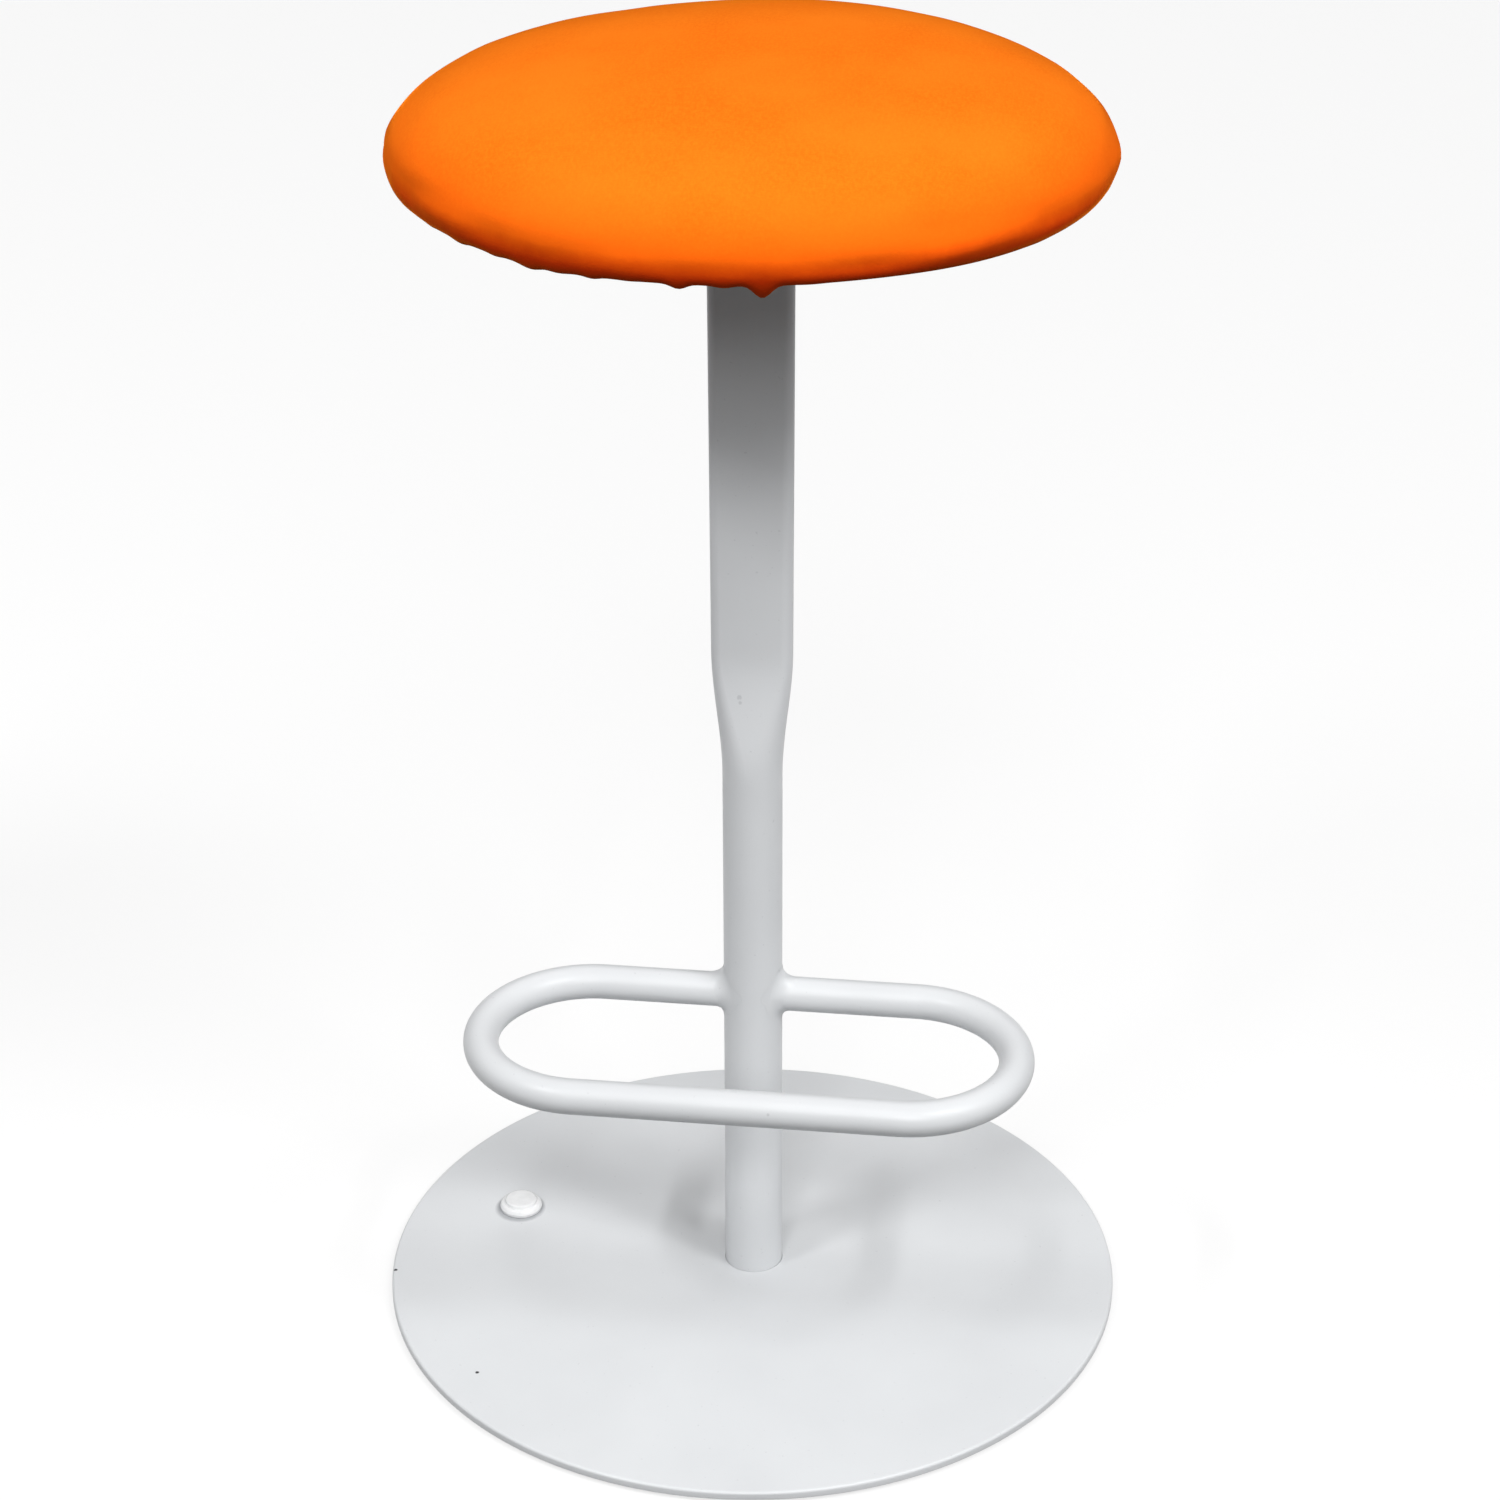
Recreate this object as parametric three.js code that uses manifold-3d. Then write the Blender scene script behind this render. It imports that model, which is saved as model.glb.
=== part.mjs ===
// Counter stool: a round padded seat on a steel column, a disc base and a loop footrest.
// Millimetres, +Z up. The origin is the centre of the disc on the floor, and -Y is the front.
import * as THREE from "three";
import { mergeVertices } from "three/addons/utils/BufferGeometryUtils.js";
import Module from "manifold-3d";

const wasm = await Module();
wasm.setup();

// Clearances and cutters
const gap = 0.3; // between pieces that are welded, pressed or screwed together
const overrun = 2; // how far a cutter runs past the face that it cuts
const mergeWithin = 1e-4; // points of one mesh that lie closer than this are the same point
const fullTurn = 2 * Math.PI;

// Disc base: a laser-cut plate with a rounded top edge, standing on five glides and a leveller
const plate = { radius: 215, thickness: 5, edgeRound: 1.6, footBevel: 2.4 };
const glide = { radius: 12, height: 2.5, bevel: 0.6, stemRadius: 3.5, stemLength: 3, edgeInset: 21 };
const leveller = {
  edgeInset: 62, // from the disc's rim to the screw's axis
  angle: THREE.MathUtils.degToRad(165), // round from +X, seen from above
  screwRadius: 4,
  tipRadius: 3,
  tipLength: 1.2,
  slotWidth: 1.4,
  slotDepth: 1.5,
  footRadius: 12,
};
const lockNut = { flats: 13, height: 4 };
const cap = { radius: 12.8, topRadius: 9.4, wall: 1, edgeRound: 2.2 };

// Column: a round tube, pressed flat above the taper, so that its wall keeps its length all round
const column = {
  radius: 16.85,
  wall: 2.6,
  setback: 7, // the column stands behind the disc's centre
  footRecess: 0.8,
  taperStart: 336,
  taperLength: 76,
  shoulderThickness: 13,
  topThickness: 10.2,
};

// Footrest: a tube bent into a long loop, welded to both sides of the column
const footrest = {
  height: 193,
  straight: 180,
  bendRadius: 61.3,
  radius: 10,
  wall: 2,
  sideways: 4.6, // how far right of the column the loop's middle lies
};
const weld = { leg: 3.6, hollowShare: 0.45 }; // how far the bead's face is drawn in, of its leg

// Seat: mounting plate, plywood board, foam and a fabric cover gathered under the board
const seat = { height: 750, radius: 188, crown: 49.3, roll: 12, rollIn: 7, rimPadding: 16.5 };
const cover = { thickness: 1.5, hemWidth: 32, gatherDepth: 2.2, gatherDraw: 2.6, elasticRadius: 1.2 };
const board = { thickness: 12, edgeRound: 2.5 };
const mountPlate = { radius: 80, thickness: 4, edgeRound: 1 };
const screw = { radius: 3, headRadius: 5.5, headHeight: 3.3, socketFlats: 4, socketDepth: 2, circle: 60 };
const washer = { radius: 7, thickness: 1.2 };
const teeNut = { flangeRadius: 9.5, flangeThickness: 1.2, barrelRadius: 3.9, barrelLength: 9 };

// How finely round things are cut
const facets = { disc: 80, tube: 32, bar: 20, bend: 14, seat: 36, small: 16 };
const gathers = { count: 36, pointsEach: 2 };
const glidePlaces = 6; // the leveller takes one of them
const screwPlaces = 4;

// Levels that follow from the sizes above
const plateBottom = glide.height;
const plateTop = plateBottom + plate.thickness;
const seatWidest = seat.height - seat.crown;
const hemOuter = seatWidest - seat.roll;
const hemInner = hemOuter + cover.thickness;
const boardBottom = hemInner + gap;
const boardTop = boardBottom + board.thickness;
const boardRadius = seat.radius - seat.rimPadding;
const hemOpening = boardRadius - cover.hemWidth;
const mountTop = boardBottom - gap;
const mountBottom = mountTop - mountPlate.thickness;
const columnTop = mountBottom - gap;
const columnFoot = plateBottom + column.footRecess;

// Solids and meshes

function solidOf(geometry) {
  const bare = geometry.clone();
  for (const name of Object.keys(bare.attributes)) {
    if (name !== "position") bare.deleteAttribute(name);
  }
  const merged = mergeVertices(bare, mergeWithin);
  return new wasm.Manifold(
    new wasm.Mesh({
      numProp: 3,
      vertProperties: merged.attributes.position.array,
      triVerts: new Uint32Array(merged.index.array),
    }),
  );
}

function geometryOf(solid) {
  const mesh = solid.getMesh();
  const geometry = new THREE.BufferGeometry();
  const points = new Float32Array(mesh.vertProperties);
  geometry.setAttribute("position", new THREE.BufferAttribute(points, mesh.numProp));
  geometry.setIndex(new THREE.BufferAttribute(new Uint32Array(mesh.triVerts), 1));
  geometry.computeVertexNormals();
  return geometry;
}

// A profile of [radius, height] points turned about Z
function revolve(profile, segments) {
  const points = profile.map(([radius, height]) => new THREE.Vector2(radius, height));
  return new THREE.LatheGeometry(points, segments).rotateX(Math.PI / 2);
}

// A ring of rectangular section about Z, or a disc where the inner radius is zero
function ring(inner, outer, low, high, segments) {
  const profile = [
    [inner, low],
    [outer, low],
    [outer, high],
    [inner, high],
  ];
  if (inner > 0) profile.push([inner, low]);
  return revolve(profile, segments);
}

function prism(sides, flats, low, high) {
  const corner = flats / 2 / Math.cos(Math.PI / sides);
  return ring(0, corner, low, high, sides);
}

// Quarter round from direction "from", turning by a right angle about a centre
function quarter(centreRadius, centreHeight, size, from, steps) {
  return Array.from({ length: steps + 1 }, (_, i) => {
    const a = from + (Math.PI / 2) * (i / steps);
    return [centreRadius + size * Math.cos(a), centreHeight + size * Math.sin(a)];
  });
}

// Joins rings of points into one surface. A closed one comes back to its first ring.
function loft(rings, closed) {
  const count = rings[0].length;
  const points = rings.flat();
  const index = [];
  const bands = closed ? rings.length : rings.length - 1;
  for (let i = 0; i < bands; i++) {
    const low = i * count;
    const high = ((i + 1) % rings.length) * count;
    for (let k = 0; k < count; k++) {
      const next = (k + 1) % count;
      index.push(low + k, low + next, high + next, low + k, high + next, high + k);
    }
  }
  if (!closed) {
    const ends = [rings[0], rings[rings.length - 1]];
    ends.forEach((end, e) => {
      const middle = new THREE.Vector3();
      end.forEach((p) => middle.addScaledVector(p, 1 / count));
      const centre = points.push(middle) - 1;
      const first = e ? (rings.length - 1) * count : 0;
      for (let k = 0; k < count; k++) {
        const next = (k + 1) % count;
        if (e) index.push(first + k, first + next, centre);
        else index.push(first + next, first + k, centre);
      }
    });
  }
  return new THREE.BufferGeometry().setFromPoints(points).setIndex(index);
}

function at(geometry, x, y) {
  return geometry.translate(x, y, 0);
}

// Materials

const finishes = {
  paint: new THREE.MeshStandardMaterial({ color: 0xd9dcdf, roughness: 0.38, metalness: 0.1 }),
  orangeFabric: new THREE.MeshStandardMaterial({ color: 0xff7d18, roughness: 0.92 }),
  foam: new THREE.MeshStandardMaterial({ color: 0xe6dcb8, roughness: 0.95 }),
  plywood: new THREE.MeshStandardMaterial({ color: 0xc79a62, roughness: 0.7 }),
  zinc: new THREE.MeshStandardMaterial({ color: 0xb4b7bb, roughness: 0.35, metalness: 1 }),
  whitePlastic: new THREE.MeshStandardMaterial({ color: 0xf1f2f3, roughness: 0.25 }),
  greyPlastic: new THREE.MeshStandardMaterial({ color: 0x6f7275, roughness: 0.6 }),
  elastic: new THREE.MeshStandardMaterial({ color: 0xb4470c, roughness: 0.9 }),
};

function piece(name, geometry, finish) {
  const mesh = new THREE.Mesh(geometry, finishes[finish]);
  mesh.name = name;
  return mesh;
}

// Disc base

const levellerReach = plate.radius - leveller.edgeInset;
const levellerX = levellerReach * Math.cos(leveller.angle);
const levellerY = levellerReach * Math.sin(leveller.angle);

function glidePositions() {
  const reach = plate.radius - glide.edgeInset;
  return Array.from({ length: glidePlaces - 1 }, (_, i) => {
    const a = leveller.angle + (fullTurn * (i + 1)) / glidePlaces;
    return [reach * Math.cos(a), reach * Math.sin(a)];
  });
}

function basePlate() {
  const roundSteps = 4;
  const inner = plate.radius - plate.edgeRound;
  const profile = [
    [0, plateBottom],
    [plate.radius, plateBottom],
    ...quarter(inner, plateTop - plate.edgeRound, plate.edgeRound, 0, roundSteps),
    [0, plateTop],
  ];
  let solid = solidOf(revolve(profile, facets.disc));
  const hole = column.radius + gap;
  const bevelTop = plateBottom + plate.footBevel;
  const footCut = [
    [0, plateBottom - overrun],
    [hole + plate.footBevel + overrun, plateBottom - overrun],
    [hole, bevelTop],
    [hole, plateTop + overrun],
    [0, plateTop + overrun],
  ];
  solid = solid.subtract(solidOf(at(revolve(footCut, facets.tube), 0, column.setback)));
  const screwCut = ring(0, leveller.screwRadius + gap, plateBottom - overrun, plateTop + overrun, facets.small);
  solid = solid.subtract(solidOf(at(screwCut, levellerX, levellerY)));
  const stemTop = plateBottom + glide.stemLength + gap;
  for (const [x, y] of glidePositions()) {
    const stemCut = ring(0, glide.stemRadius + gap, plateBottom - overrun, stemTop, facets.small);
    solid = solid.subtract(solidOf(at(stemCut, x, y)));
  }
  return piece("base_plate", geometryOf(solid), "paint");
}

function glides() {
  const padTop = glide.height - gap;
  const profile = [
    [0, 0],
    [glide.radius - glide.bevel, 0],
    [glide.radius, glide.bevel],
    [glide.radius, padTop],
    [glide.stemRadius, padTop],
    [glide.stemRadius, plateBottom + glide.stemLength],
    [0, plateBottom + glide.stemLength],
  ];
  return glidePositions().map(([x, y], i) => {
    const mesh = piece(`base_glide_${i + 1}`, revolve(profile, facets.small), "greyPlastic");
    mesh.position.set(x, y, 0);
    return mesh;
  });
}

// The levelling screw turns in the plate, under a lock nut and a push-on cap, and stands on its own foot
function levellerPieces() {
  const group = new THREE.Group();
  group.position.set(levellerX, levellerY, 0);
  const footTop = glide.height - gap;
  const socketFloor = footTop - leveller.tipLength;
  const socketRadius = leveller.tipRadius + gap;
  const foot = [
    [0, 0],
    [leveller.footRadius - glide.bevel, 0],
    [leveller.footRadius, glide.bevel],
    [leveller.footRadius, footTop],
    [socketRadius, footTop],
    [socketRadius, socketFloor],
    [0, socketFloor],
  ];
  group.add(piece("leveller_foot", revolve(foot, facets.small), "greyPlastic"));

  const screwTop = plateTop + gap + lockNut.height;
  const shaft = [
    [0, socketFloor + gap],
    [leveller.tipRadius, socketFloor + gap],
    [leveller.tipRadius, plateBottom],
    [leveller.screwRadius, plateBottom],
    [leveller.screwRadius, screwTop],
    [0, screwTop],
  ];
  const slotLength = 2 * leveller.screwRadius + overrun;
  const slot = new THREE.BoxGeometry(slotLength, leveller.slotWidth, 2 * leveller.slotDepth);
  slot.translate(0, 0, screwTop);
  const slotted = solidOf(revolve(shaft, facets.small)).subtract(solidOf(slot));
  group.add(piece("leveller_screw", geometryOf(slotted), "zinc"));

  const nutLow = plateTop + gap;
  const nutBlock = solidOf(prism(6, lockNut.flats, nutLow, nutLow + lockNut.height));
  const nutBore = ring(0, leveller.screwRadius + gap, nutLow - overrun, screwTop + overrun, facets.small);
  group.add(piece("leveller_lock_nut", geometryOf(nutBlock.subtract(solidOf(nutBore))), "zinc"));

  const cavityRadius = lockNut.flats / 2 / Math.cos(Math.PI / 6) + gap;
  const cavityTop = screwTop + gap;
  const capTop = cavityTop + cap.wall;
  const capProfile = [
    [cavityRadius, nutLow],
    [cap.radius, nutLow],
    ...quarter(cap.radius - cap.edgeRound, capTop - cap.edgeRound - cap.wall, cap.edgeRound, 0, 3),
    [cap.topRadius, capTop],
    [0, capTop],
    [0, cavityTop],
    [cavityRadius, cavityTop],
    [cavityRadius, nutLow],
  ];
  group.add(piece("leveller_cap", revolve(capProfile, facets.small), "whitePlastic"));
  return group;
}

// Column

// Half thickness of the pressed tube at a height; the width follows from the wall's unchanged length
function endRadius(height) {
  const up = (height - column.taperStart) / column.taperLength;
  const shoulder = column.shoulderThickness / 2;
  if (up <= 0) return column.radius;
  if (up < 1) {
    const eased = up * up * (3 - 2 * up);
    return column.radius + (shoulder - column.radius) * eased;
  }
  const shoulderHeight = column.taperStart + column.taperLength;
  const share = (height - shoulderHeight) / (columnTop - shoulderHeight);
  return shoulder + (column.topThickness / 2 - shoulder) * share;
}

// Section of the tube: two half rounds joined by flats, grown outwards by "grow"
function columnRing(height, grow) {
  const end = endRadius(height);
  const halfFlat = (Math.PI / 2) * (column.radius - end);
  const half = facets.tube / 2;
  return Array.from({ length: facets.tube }, (_, k) => {
    const side = k < half ? 1 : -1;
    const a = (Math.PI * ((k % half) + 0.5)) / half - Math.PI / 2;
    const x = side * (halfFlat + (end + grow) * Math.cos(a));
    const y = side * (end + grow) * Math.sin(a);
    return new THREE.Vector3(x, y, height);
  });
}

function columnHeights() {
  const taperSteps = 10;
  const taper = Array.from({ length: taperSteps + 1 }, (_, i) => {
    return column.taperStart + (column.taperLength * i) / taperSteps;
  });
  return [columnFoot, ...taper, columnTop];
}

function columnTube() {
  const heights = columnHeights();
  const outside = heights.map((z) => columnRing(z, 0));
  const inside = heights.reverse().map((z) => columnRing(z, -column.wall));
  return piece("column_tube", loft([...outside, ...inside], true), "paint");
}

// Bead that closes the bevel under the disc, round the column's foot
function footWeld() {
  const inner = column.radius + gap;
  const low = plateBottom + gap;
  const high = low + plate.footBevel - 2 * gap;
  const profile = [
    [inner, low],
    [inner + plate.footBevel - gap, low],
    [inner + gap, high],
    [inner, high],
    [inner, low],
  ];
  return piece("column_foot_weld", revolve(profile, facets.tube), "paint");
}

// Bead between the flattened end of the column and the mounting plate above it
function topWeld() {
  const top = mountBottom - gap;
  const low = top - weld.leg;
  const drawn = weld.leg * weld.hollowShare;
  const steps = [
    [gap, low],
    [gap + drawn * weld.hollowShare, top - drawn],
    [gap + drawn, top - drawn * weld.hollowShare],
    [gap + weld.leg, top],
    [gap, top],
  ];
  const rings = steps.map(([grow, height]) => {
    return columnRing(columnTop, grow).map((p) => p.setZ(height));
  });
  return piece("column_top_weld", loft(rings, true), "paint");
}

// Footrest

// Centre line of the loop, from the column's right side round to its left; t runs evenly over the steps
class LoopLine extends THREE.Curve {
  constructor() {
    super();
    const bend = facets.bend;
    const { straight, bendRadius, sideways } = footrest;
    this.steps = 2 * bend + 3;
    const half = straight / 2;
    this.points = [new THREE.Vector3(0, 0, 0)];
    for (const side of [1, -1]) {
      for (let i = 0; i <= bend; i++) {
        const a = (Math.PI * i) / bend;
        const along = sideways + side * (half + bendRadius * Math.sin(a));
        const across = -bendRadius + side * bendRadius * Math.cos(a);
        this.points.push(new THREE.Vector3(along, across, 0));
      }
    }
    this.points.push(new THREE.Vector3(0, 0, 0));
  }

  getPoint(t, target = new THREE.Vector3()) {
    const place = Math.min(t * this.steps, this.steps - 1e-9);
    const i = Math.floor(place);
    return target.lerpVectors(this.points[i], this.points[i + 1], place - i);
  }

  getUtoTmapping(u) {
    return u;
  }

  // The mean direction of the two stretches that meet at a step, so that the tube keeps its width
  getTangent(t, target = new THREE.Vector3()) {
    const i = Math.round(t * this.steps);
    const before = this.points[Math.max(i - 1, 0)];
    const here = this.points[i];
    const after = this.points[Math.min(i + 1, this.steps)];
    const arriving = here.clone().sub(before).normalize();
    const leaving = after.clone().sub(here).normalize();
    return target.copy(arriving).add(leaving).normalize();
  }
}

function barSection() {
  const section = new THREE.Shape();
  section.absarc(0, 0, footrest.radius, 0, fullTurn, false);
  const bore = new THREE.Path();
  bore.absarc(0, 0, footrest.radius - footrest.wall, 0, fullTurn, true);
  section.holes.push(bore);
  return section;
}

function footrestTube() {
  const line = new LoopLine();
  const bent = new THREE.ExtrudeGeometry(barSection(), {
    steps: line.steps,
    extrudePath: line,
    curveSegments: facets.bar / 2,
  });
  const reach = footrest.radius + overrun;
  const columnCut = ring(0, column.radius + gap, -reach, reach, facets.tube);
  const mesh = piece("footrest_tube", geometryOf(solidOf(bent).subtract(solidOf(columnCut))), "paint");
  mesh.position.z = footrest.height;
  return mesh;
}

// Saddle-shaped bead where the footrest meets one side of the column
function footrestWeld(name, side) {
  const face = column.radius + gap;
  const leg = Math.min(weld.leg, face - footrest.radius - 2 * gap);
  const bar = footrest.radius + gap;
  const saddle = (across) => Math.sqrt(face * face - across * across);
  const drawn = leg * weld.hollowShare;
  const rings = [
    [bar, gap],
    [bar + leg, gap],
    [bar + drawn, drawn * weld.hollowShare + gap],
    [bar + drawn * weld.hollowShare, drawn + gap],
    [bar, leg + gap],
  ].map(([radius, off]) => {
    return Array.from({ length: facets.bar }, (_, k) => {
      const a = (-side * fullTurn * k) / facets.bar;
      const y = radius * Math.cos(a);
      const x = saddle(Math.min(Math.abs(y), face - gap)) + off;
      return new THREE.Vector3(side * x, y, radius * Math.sin(a));
    });
  });
  const mesh = piece(name, loft(rings.reverse(), true), "paint");
  mesh.position.z = footrest.height;
  return mesh;
}

// Seat

// Half profile of the cushion from the hem's outer edge up to the middle of the crown, drawn in by "inset"
const crownFullness = 2.75; // 2 is an ellipse, and more is squarer at the rim
function cushionProfile(inset, rollSteps, crownSteps) {
  const radius = seat.radius - inset;
  const roll = seat.roll - inset;
  const rollIn = seat.rollIn - inset;
  const crown = seat.crown - inset;
  const points = [];
  for (let i = rollSteps; i > 0; i--) {
    const a = ((Math.PI / 2) * i) / rollSteps;
    points.push([radius - rollIn * (1 - Math.cos(a)), seatWidest - roll * Math.sin(a)]);
  }
  for (let i = crownSteps; i >= 0; i--) {
    const a = ((Math.PI / 2) * i) / crownSteps;
    points.push([radius * Math.sin(a) ** (2 / crownFullness), seatWidest + crown * Math.cos(a)]);
  }
  return points;
}

const channelDrop = 2 * (cover.elasticRadius + gap) - gap; // how far the hem hangs below the board's underside
const channelWidth = 2 * (cover.elasticRadius + gap);
const channelFloor = hemInner - channelDrop;

// Outside of the cover, with the gathers drawn in under the rim
function coverOutside() {
  const rollSteps = 3;
  const crownSteps = 5;
  const hemEdge = hemOpening + 2 * cover.thickness + channelWidth;
  const underside = [
    [hemOpening / 2, channelFloor - cover.thickness],
    [hemEdge, channelFloor - cover.thickness],
    [hemEdge + 2 * channelDrop, hemOuter],
  ];
  const profile = [...underside, ...cushionProfile(0, rollSteps, crownSteps).slice(0, -1)];
  const count = gathers.count * gathers.pointsEach;
  const rings = profile.map(([radius, height]) => {
    return Array.from({ length: count }, (_, k) => {
      const a = (fullTurn * k) / count;
      const fold = Math.max(0, Math.cos(gathers.count * a));
      const below = Math.min(1, Math.max(0, (seatWidest - height) / seat.roll));
      const under = radius > hemEdge ? below * below * fold : 0;
      const r = radius - cover.gatherDraw * under * (1 - below);
      const z = height - cover.gatherDepth * under;
      return new THREE.Vector3(r * Math.cos(a), r * Math.sin(a), z);
    });
  });
  return solidOf(loft([...rings, ...crownTip(rings)], false));
}

// A last small ring at the crown's middle, so that its cap is nearly flat
function crownTip(rings) {
  const last = rings[rings.length - 1];
  const share = 0.05;
  return [last.map((p) => new THREE.Vector3(p.x * share, p.y * share, seat.height))];
}

function seatCover() {
  const lip = hemOpening + cover.thickness;
  const low = channelFloor - cover.thickness - overrun;
  const hollow = [
    [0, low],
    [hemOpening, low],
    [hemOpening, hemInner],
    [lip, hemInner],
    [lip, channelFloor],
    [lip + channelWidth, channelFloor],
    [lip + channelWidth, hemInner],
    ...cushionProfile(cover.thickness, 2, 4),
  ];
  const solid = coverOutside().subtract(solidOf(revolve(hollow, facets.seat)));
  return piece("seat_cover", geometryOf(solid), "orangeFabric");
}

function hemElastic() {
  const middle = hemOpening + cover.thickness + channelWidth / 2;
  const height = channelFloor + gap + cover.elasticRadius;
  const sides = 6;
  const profile = Array.from({ length: sides + 1 }, (_, i) => {
    const a = (fullTurn * i) / sides;
    return [middle + cover.elasticRadius * Math.cos(a), height + cover.elasticRadius * Math.sin(a)];
  });
  return piece("hem_elastic", revolve(profile, facets.seat), "elastic");
}

function foamPad() {
  const profile = [[0, boardBottom], ...cushionProfile(cover.thickness + gap, 2, 4)];
  const boardCut = ring(0, boardRadius + gap, boardBottom - overrun, boardTop + gap, facets.seat);
  const solid = solidOf(revolve(profile, facets.seat)).subtract(solidOf(boardCut));
  return piece("foam_pad", geometryOf(solid), "foam");
}

function screwPositions() {
  return Array.from({ length: screwPlaces }, (_, i) => {
    const a = (fullTurn * (i + 0.5)) / screwPlaces;
    return [screw.circle * Math.cos(a), screw.circle * Math.sin(a)];
  });
}

function drilled(solid, radius, low, high) {
  return screwPositions().reduce((made, [x, y]) => {
    return made.subtract(solidOf(at(ring(0, radius, low, high, facets.small), x, y)));
  }, solid);
}

function seatBoard() {
  const round = board.edgeRound;
  const inner = boardRadius - round;
  const profile = [
    [0, boardBottom],
    ...quarter(inner, boardBottom + round, round, -Math.PI / 2, 2),
    ...quarter(inner, boardTop - round, round, 0, 2),
    [0, boardTop],
  ];
  let solid = solidOf(revolve(profile, facets.seat));
  solid = drilled(solid, teeNut.barrelRadius + gap, boardBottom - overrun, boardTop + overrun);
  const seatOfFlange = boardTop - teeNut.flangeThickness - gap;
  solid = drilled(solid, teeNut.flangeRadius + gap, seatOfFlange, boardTop + overrun);
  return piece("seat_board", geometryOf(solid), "plywood");
}

function seatMountPlate() {
  const round = mountPlate.edgeRound;
  const profile = [
    [0, mountBottom],
    [mountPlate.radius - round, mountBottom],
    [mountPlate.radius, mountBottom + round],
    [mountPlate.radius, mountTop - round],
    [mountPlate.radius - round, mountTop],
    [0, mountTop],
  ];
  const solid = solidOf(revolve(profile, facets.seat * 2));
  const holes = drilled(solid, screw.radius + gap, mountBottom - overrun, mountTop + overrun);
  return piece("seat_mount_plate", geometryOf(holes), "paint");
}

function seatFastenings() {
  const group = new THREE.Group();
  const nutTop = boardTop;
  const flangeLow = nutTop - teeNut.flangeThickness;
  const bore = screw.radius + gap;
  const nut = [
    [bore, nutTop - teeNut.barrelLength],
    [teeNut.barrelRadius, nutTop - teeNut.barrelLength],
    [teeNut.barrelRadius, flangeLow],
    [teeNut.flangeRadius, flangeLow],
    [teeNut.flangeRadius, nutTop],
    [bore, nutTop],
    [bore, nutTop - teeNut.barrelLength],
  ];
  const washerTop = mountBottom - gap;
  const washerLow = washerTop - washer.thickness;
  const headTop = washerLow - gap;
  const headLow = headTop - screw.headHeight;
  const domed = screw.headHeight / 2;
  const shank = [
    [0, headLow],
    [screw.headRadius - domed, headLow],
    [screw.headRadius, headLow + domed],
    [screw.headRadius, headTop],
    [screw.radius, headTop],
    [screw.radius, nutTop - gap],
    [0, nutTop - gap],
  ];
  const socket = solidOf(prism(6, screw.socketFlats, headLow - overrun, headLow + screw.socketDepth));
  screwPositions().forEach(([x, y], i) => {
    const number = i + 1;
    const bolt = geometryOf(solidOf(revolve(shank, facets.small)).subtract(socket));
    const flat = ring(bore, washer.radius, washerLow, washerTop, facets.small);
    const set = [
      piece(`tee_nut_${number}`, revolve(nut, facets.small), "zinc"),
      piece(`seat_washer_${number}`, flat, "zinc"),
      piece(`seat_screw_${number}`, bolt, "zinc"),
    ];
    for (const mesh of set) {
      mesh.position.set(x, y, 0);
      group.add(mesh);
    }
  });
  return group;
}

// The whole stool

const stool = new THREE.Group();
const base = new THREE.Group();
base.add(basePlate(), ...glides(), levellerPieces());

const upright = new THREE.Group();
upright.position.y = column.setback;
upright.add(columnTube(), footWeld(), topWeld());
upright.add(footrestTube(), footrestWeld("footrest_weld_right", 1), footrestWeld("footrest_weld_left", -1));
upright.add(seatMountPlate(), seatBoard(), foamPad(), seatCover(), hemElastic(), seatFastenings());
stool.add(base, upright);

export default stool;
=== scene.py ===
from math import acos, atan2, copysign, cos, exp, hypot, pi, radians, sin, sqrt, tan

import bmesh
import bpy
import numpy as np
from mathutils import Matrix, Vector
from mathutils.bvhtree import BVHTree


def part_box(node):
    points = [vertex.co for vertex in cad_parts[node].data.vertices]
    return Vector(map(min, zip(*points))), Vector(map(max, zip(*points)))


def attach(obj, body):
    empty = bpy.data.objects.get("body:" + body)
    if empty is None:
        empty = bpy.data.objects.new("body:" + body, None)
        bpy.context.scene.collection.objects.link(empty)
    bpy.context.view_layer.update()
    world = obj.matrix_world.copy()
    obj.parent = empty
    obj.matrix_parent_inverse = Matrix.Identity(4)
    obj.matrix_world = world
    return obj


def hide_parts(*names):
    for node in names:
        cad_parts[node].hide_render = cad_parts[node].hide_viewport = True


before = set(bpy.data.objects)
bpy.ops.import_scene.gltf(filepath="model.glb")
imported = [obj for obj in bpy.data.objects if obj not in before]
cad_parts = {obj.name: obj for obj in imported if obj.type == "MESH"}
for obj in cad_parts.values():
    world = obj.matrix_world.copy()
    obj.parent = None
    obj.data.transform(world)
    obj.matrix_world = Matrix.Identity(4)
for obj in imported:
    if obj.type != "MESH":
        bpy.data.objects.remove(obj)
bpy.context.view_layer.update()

# Round seat on a pressed steel column, with a disc base and a loop footrest. Metres, +Z up.
scene = bpy.context.scene
gap = 0.0003  # what pieces that touch keep between them
past = 0.002  # what a cutter reaches beyond the piece that it cuts
fullTurn = 2 * pi
print("frame loaded:", len(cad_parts), "solids")


# Mesh helpers

def addObject(name, data):
    obj = bpy.data.objects.new(name, data)
    scene.collection.objects.link(obj)
    return obj


def newObject(name, points, faces):
    mesh = bpy.data.meshes.new(name)
    mesh.from_pydata([tuple(p) for p in points], [], faces)
    return addObject(name, mesh)


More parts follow.
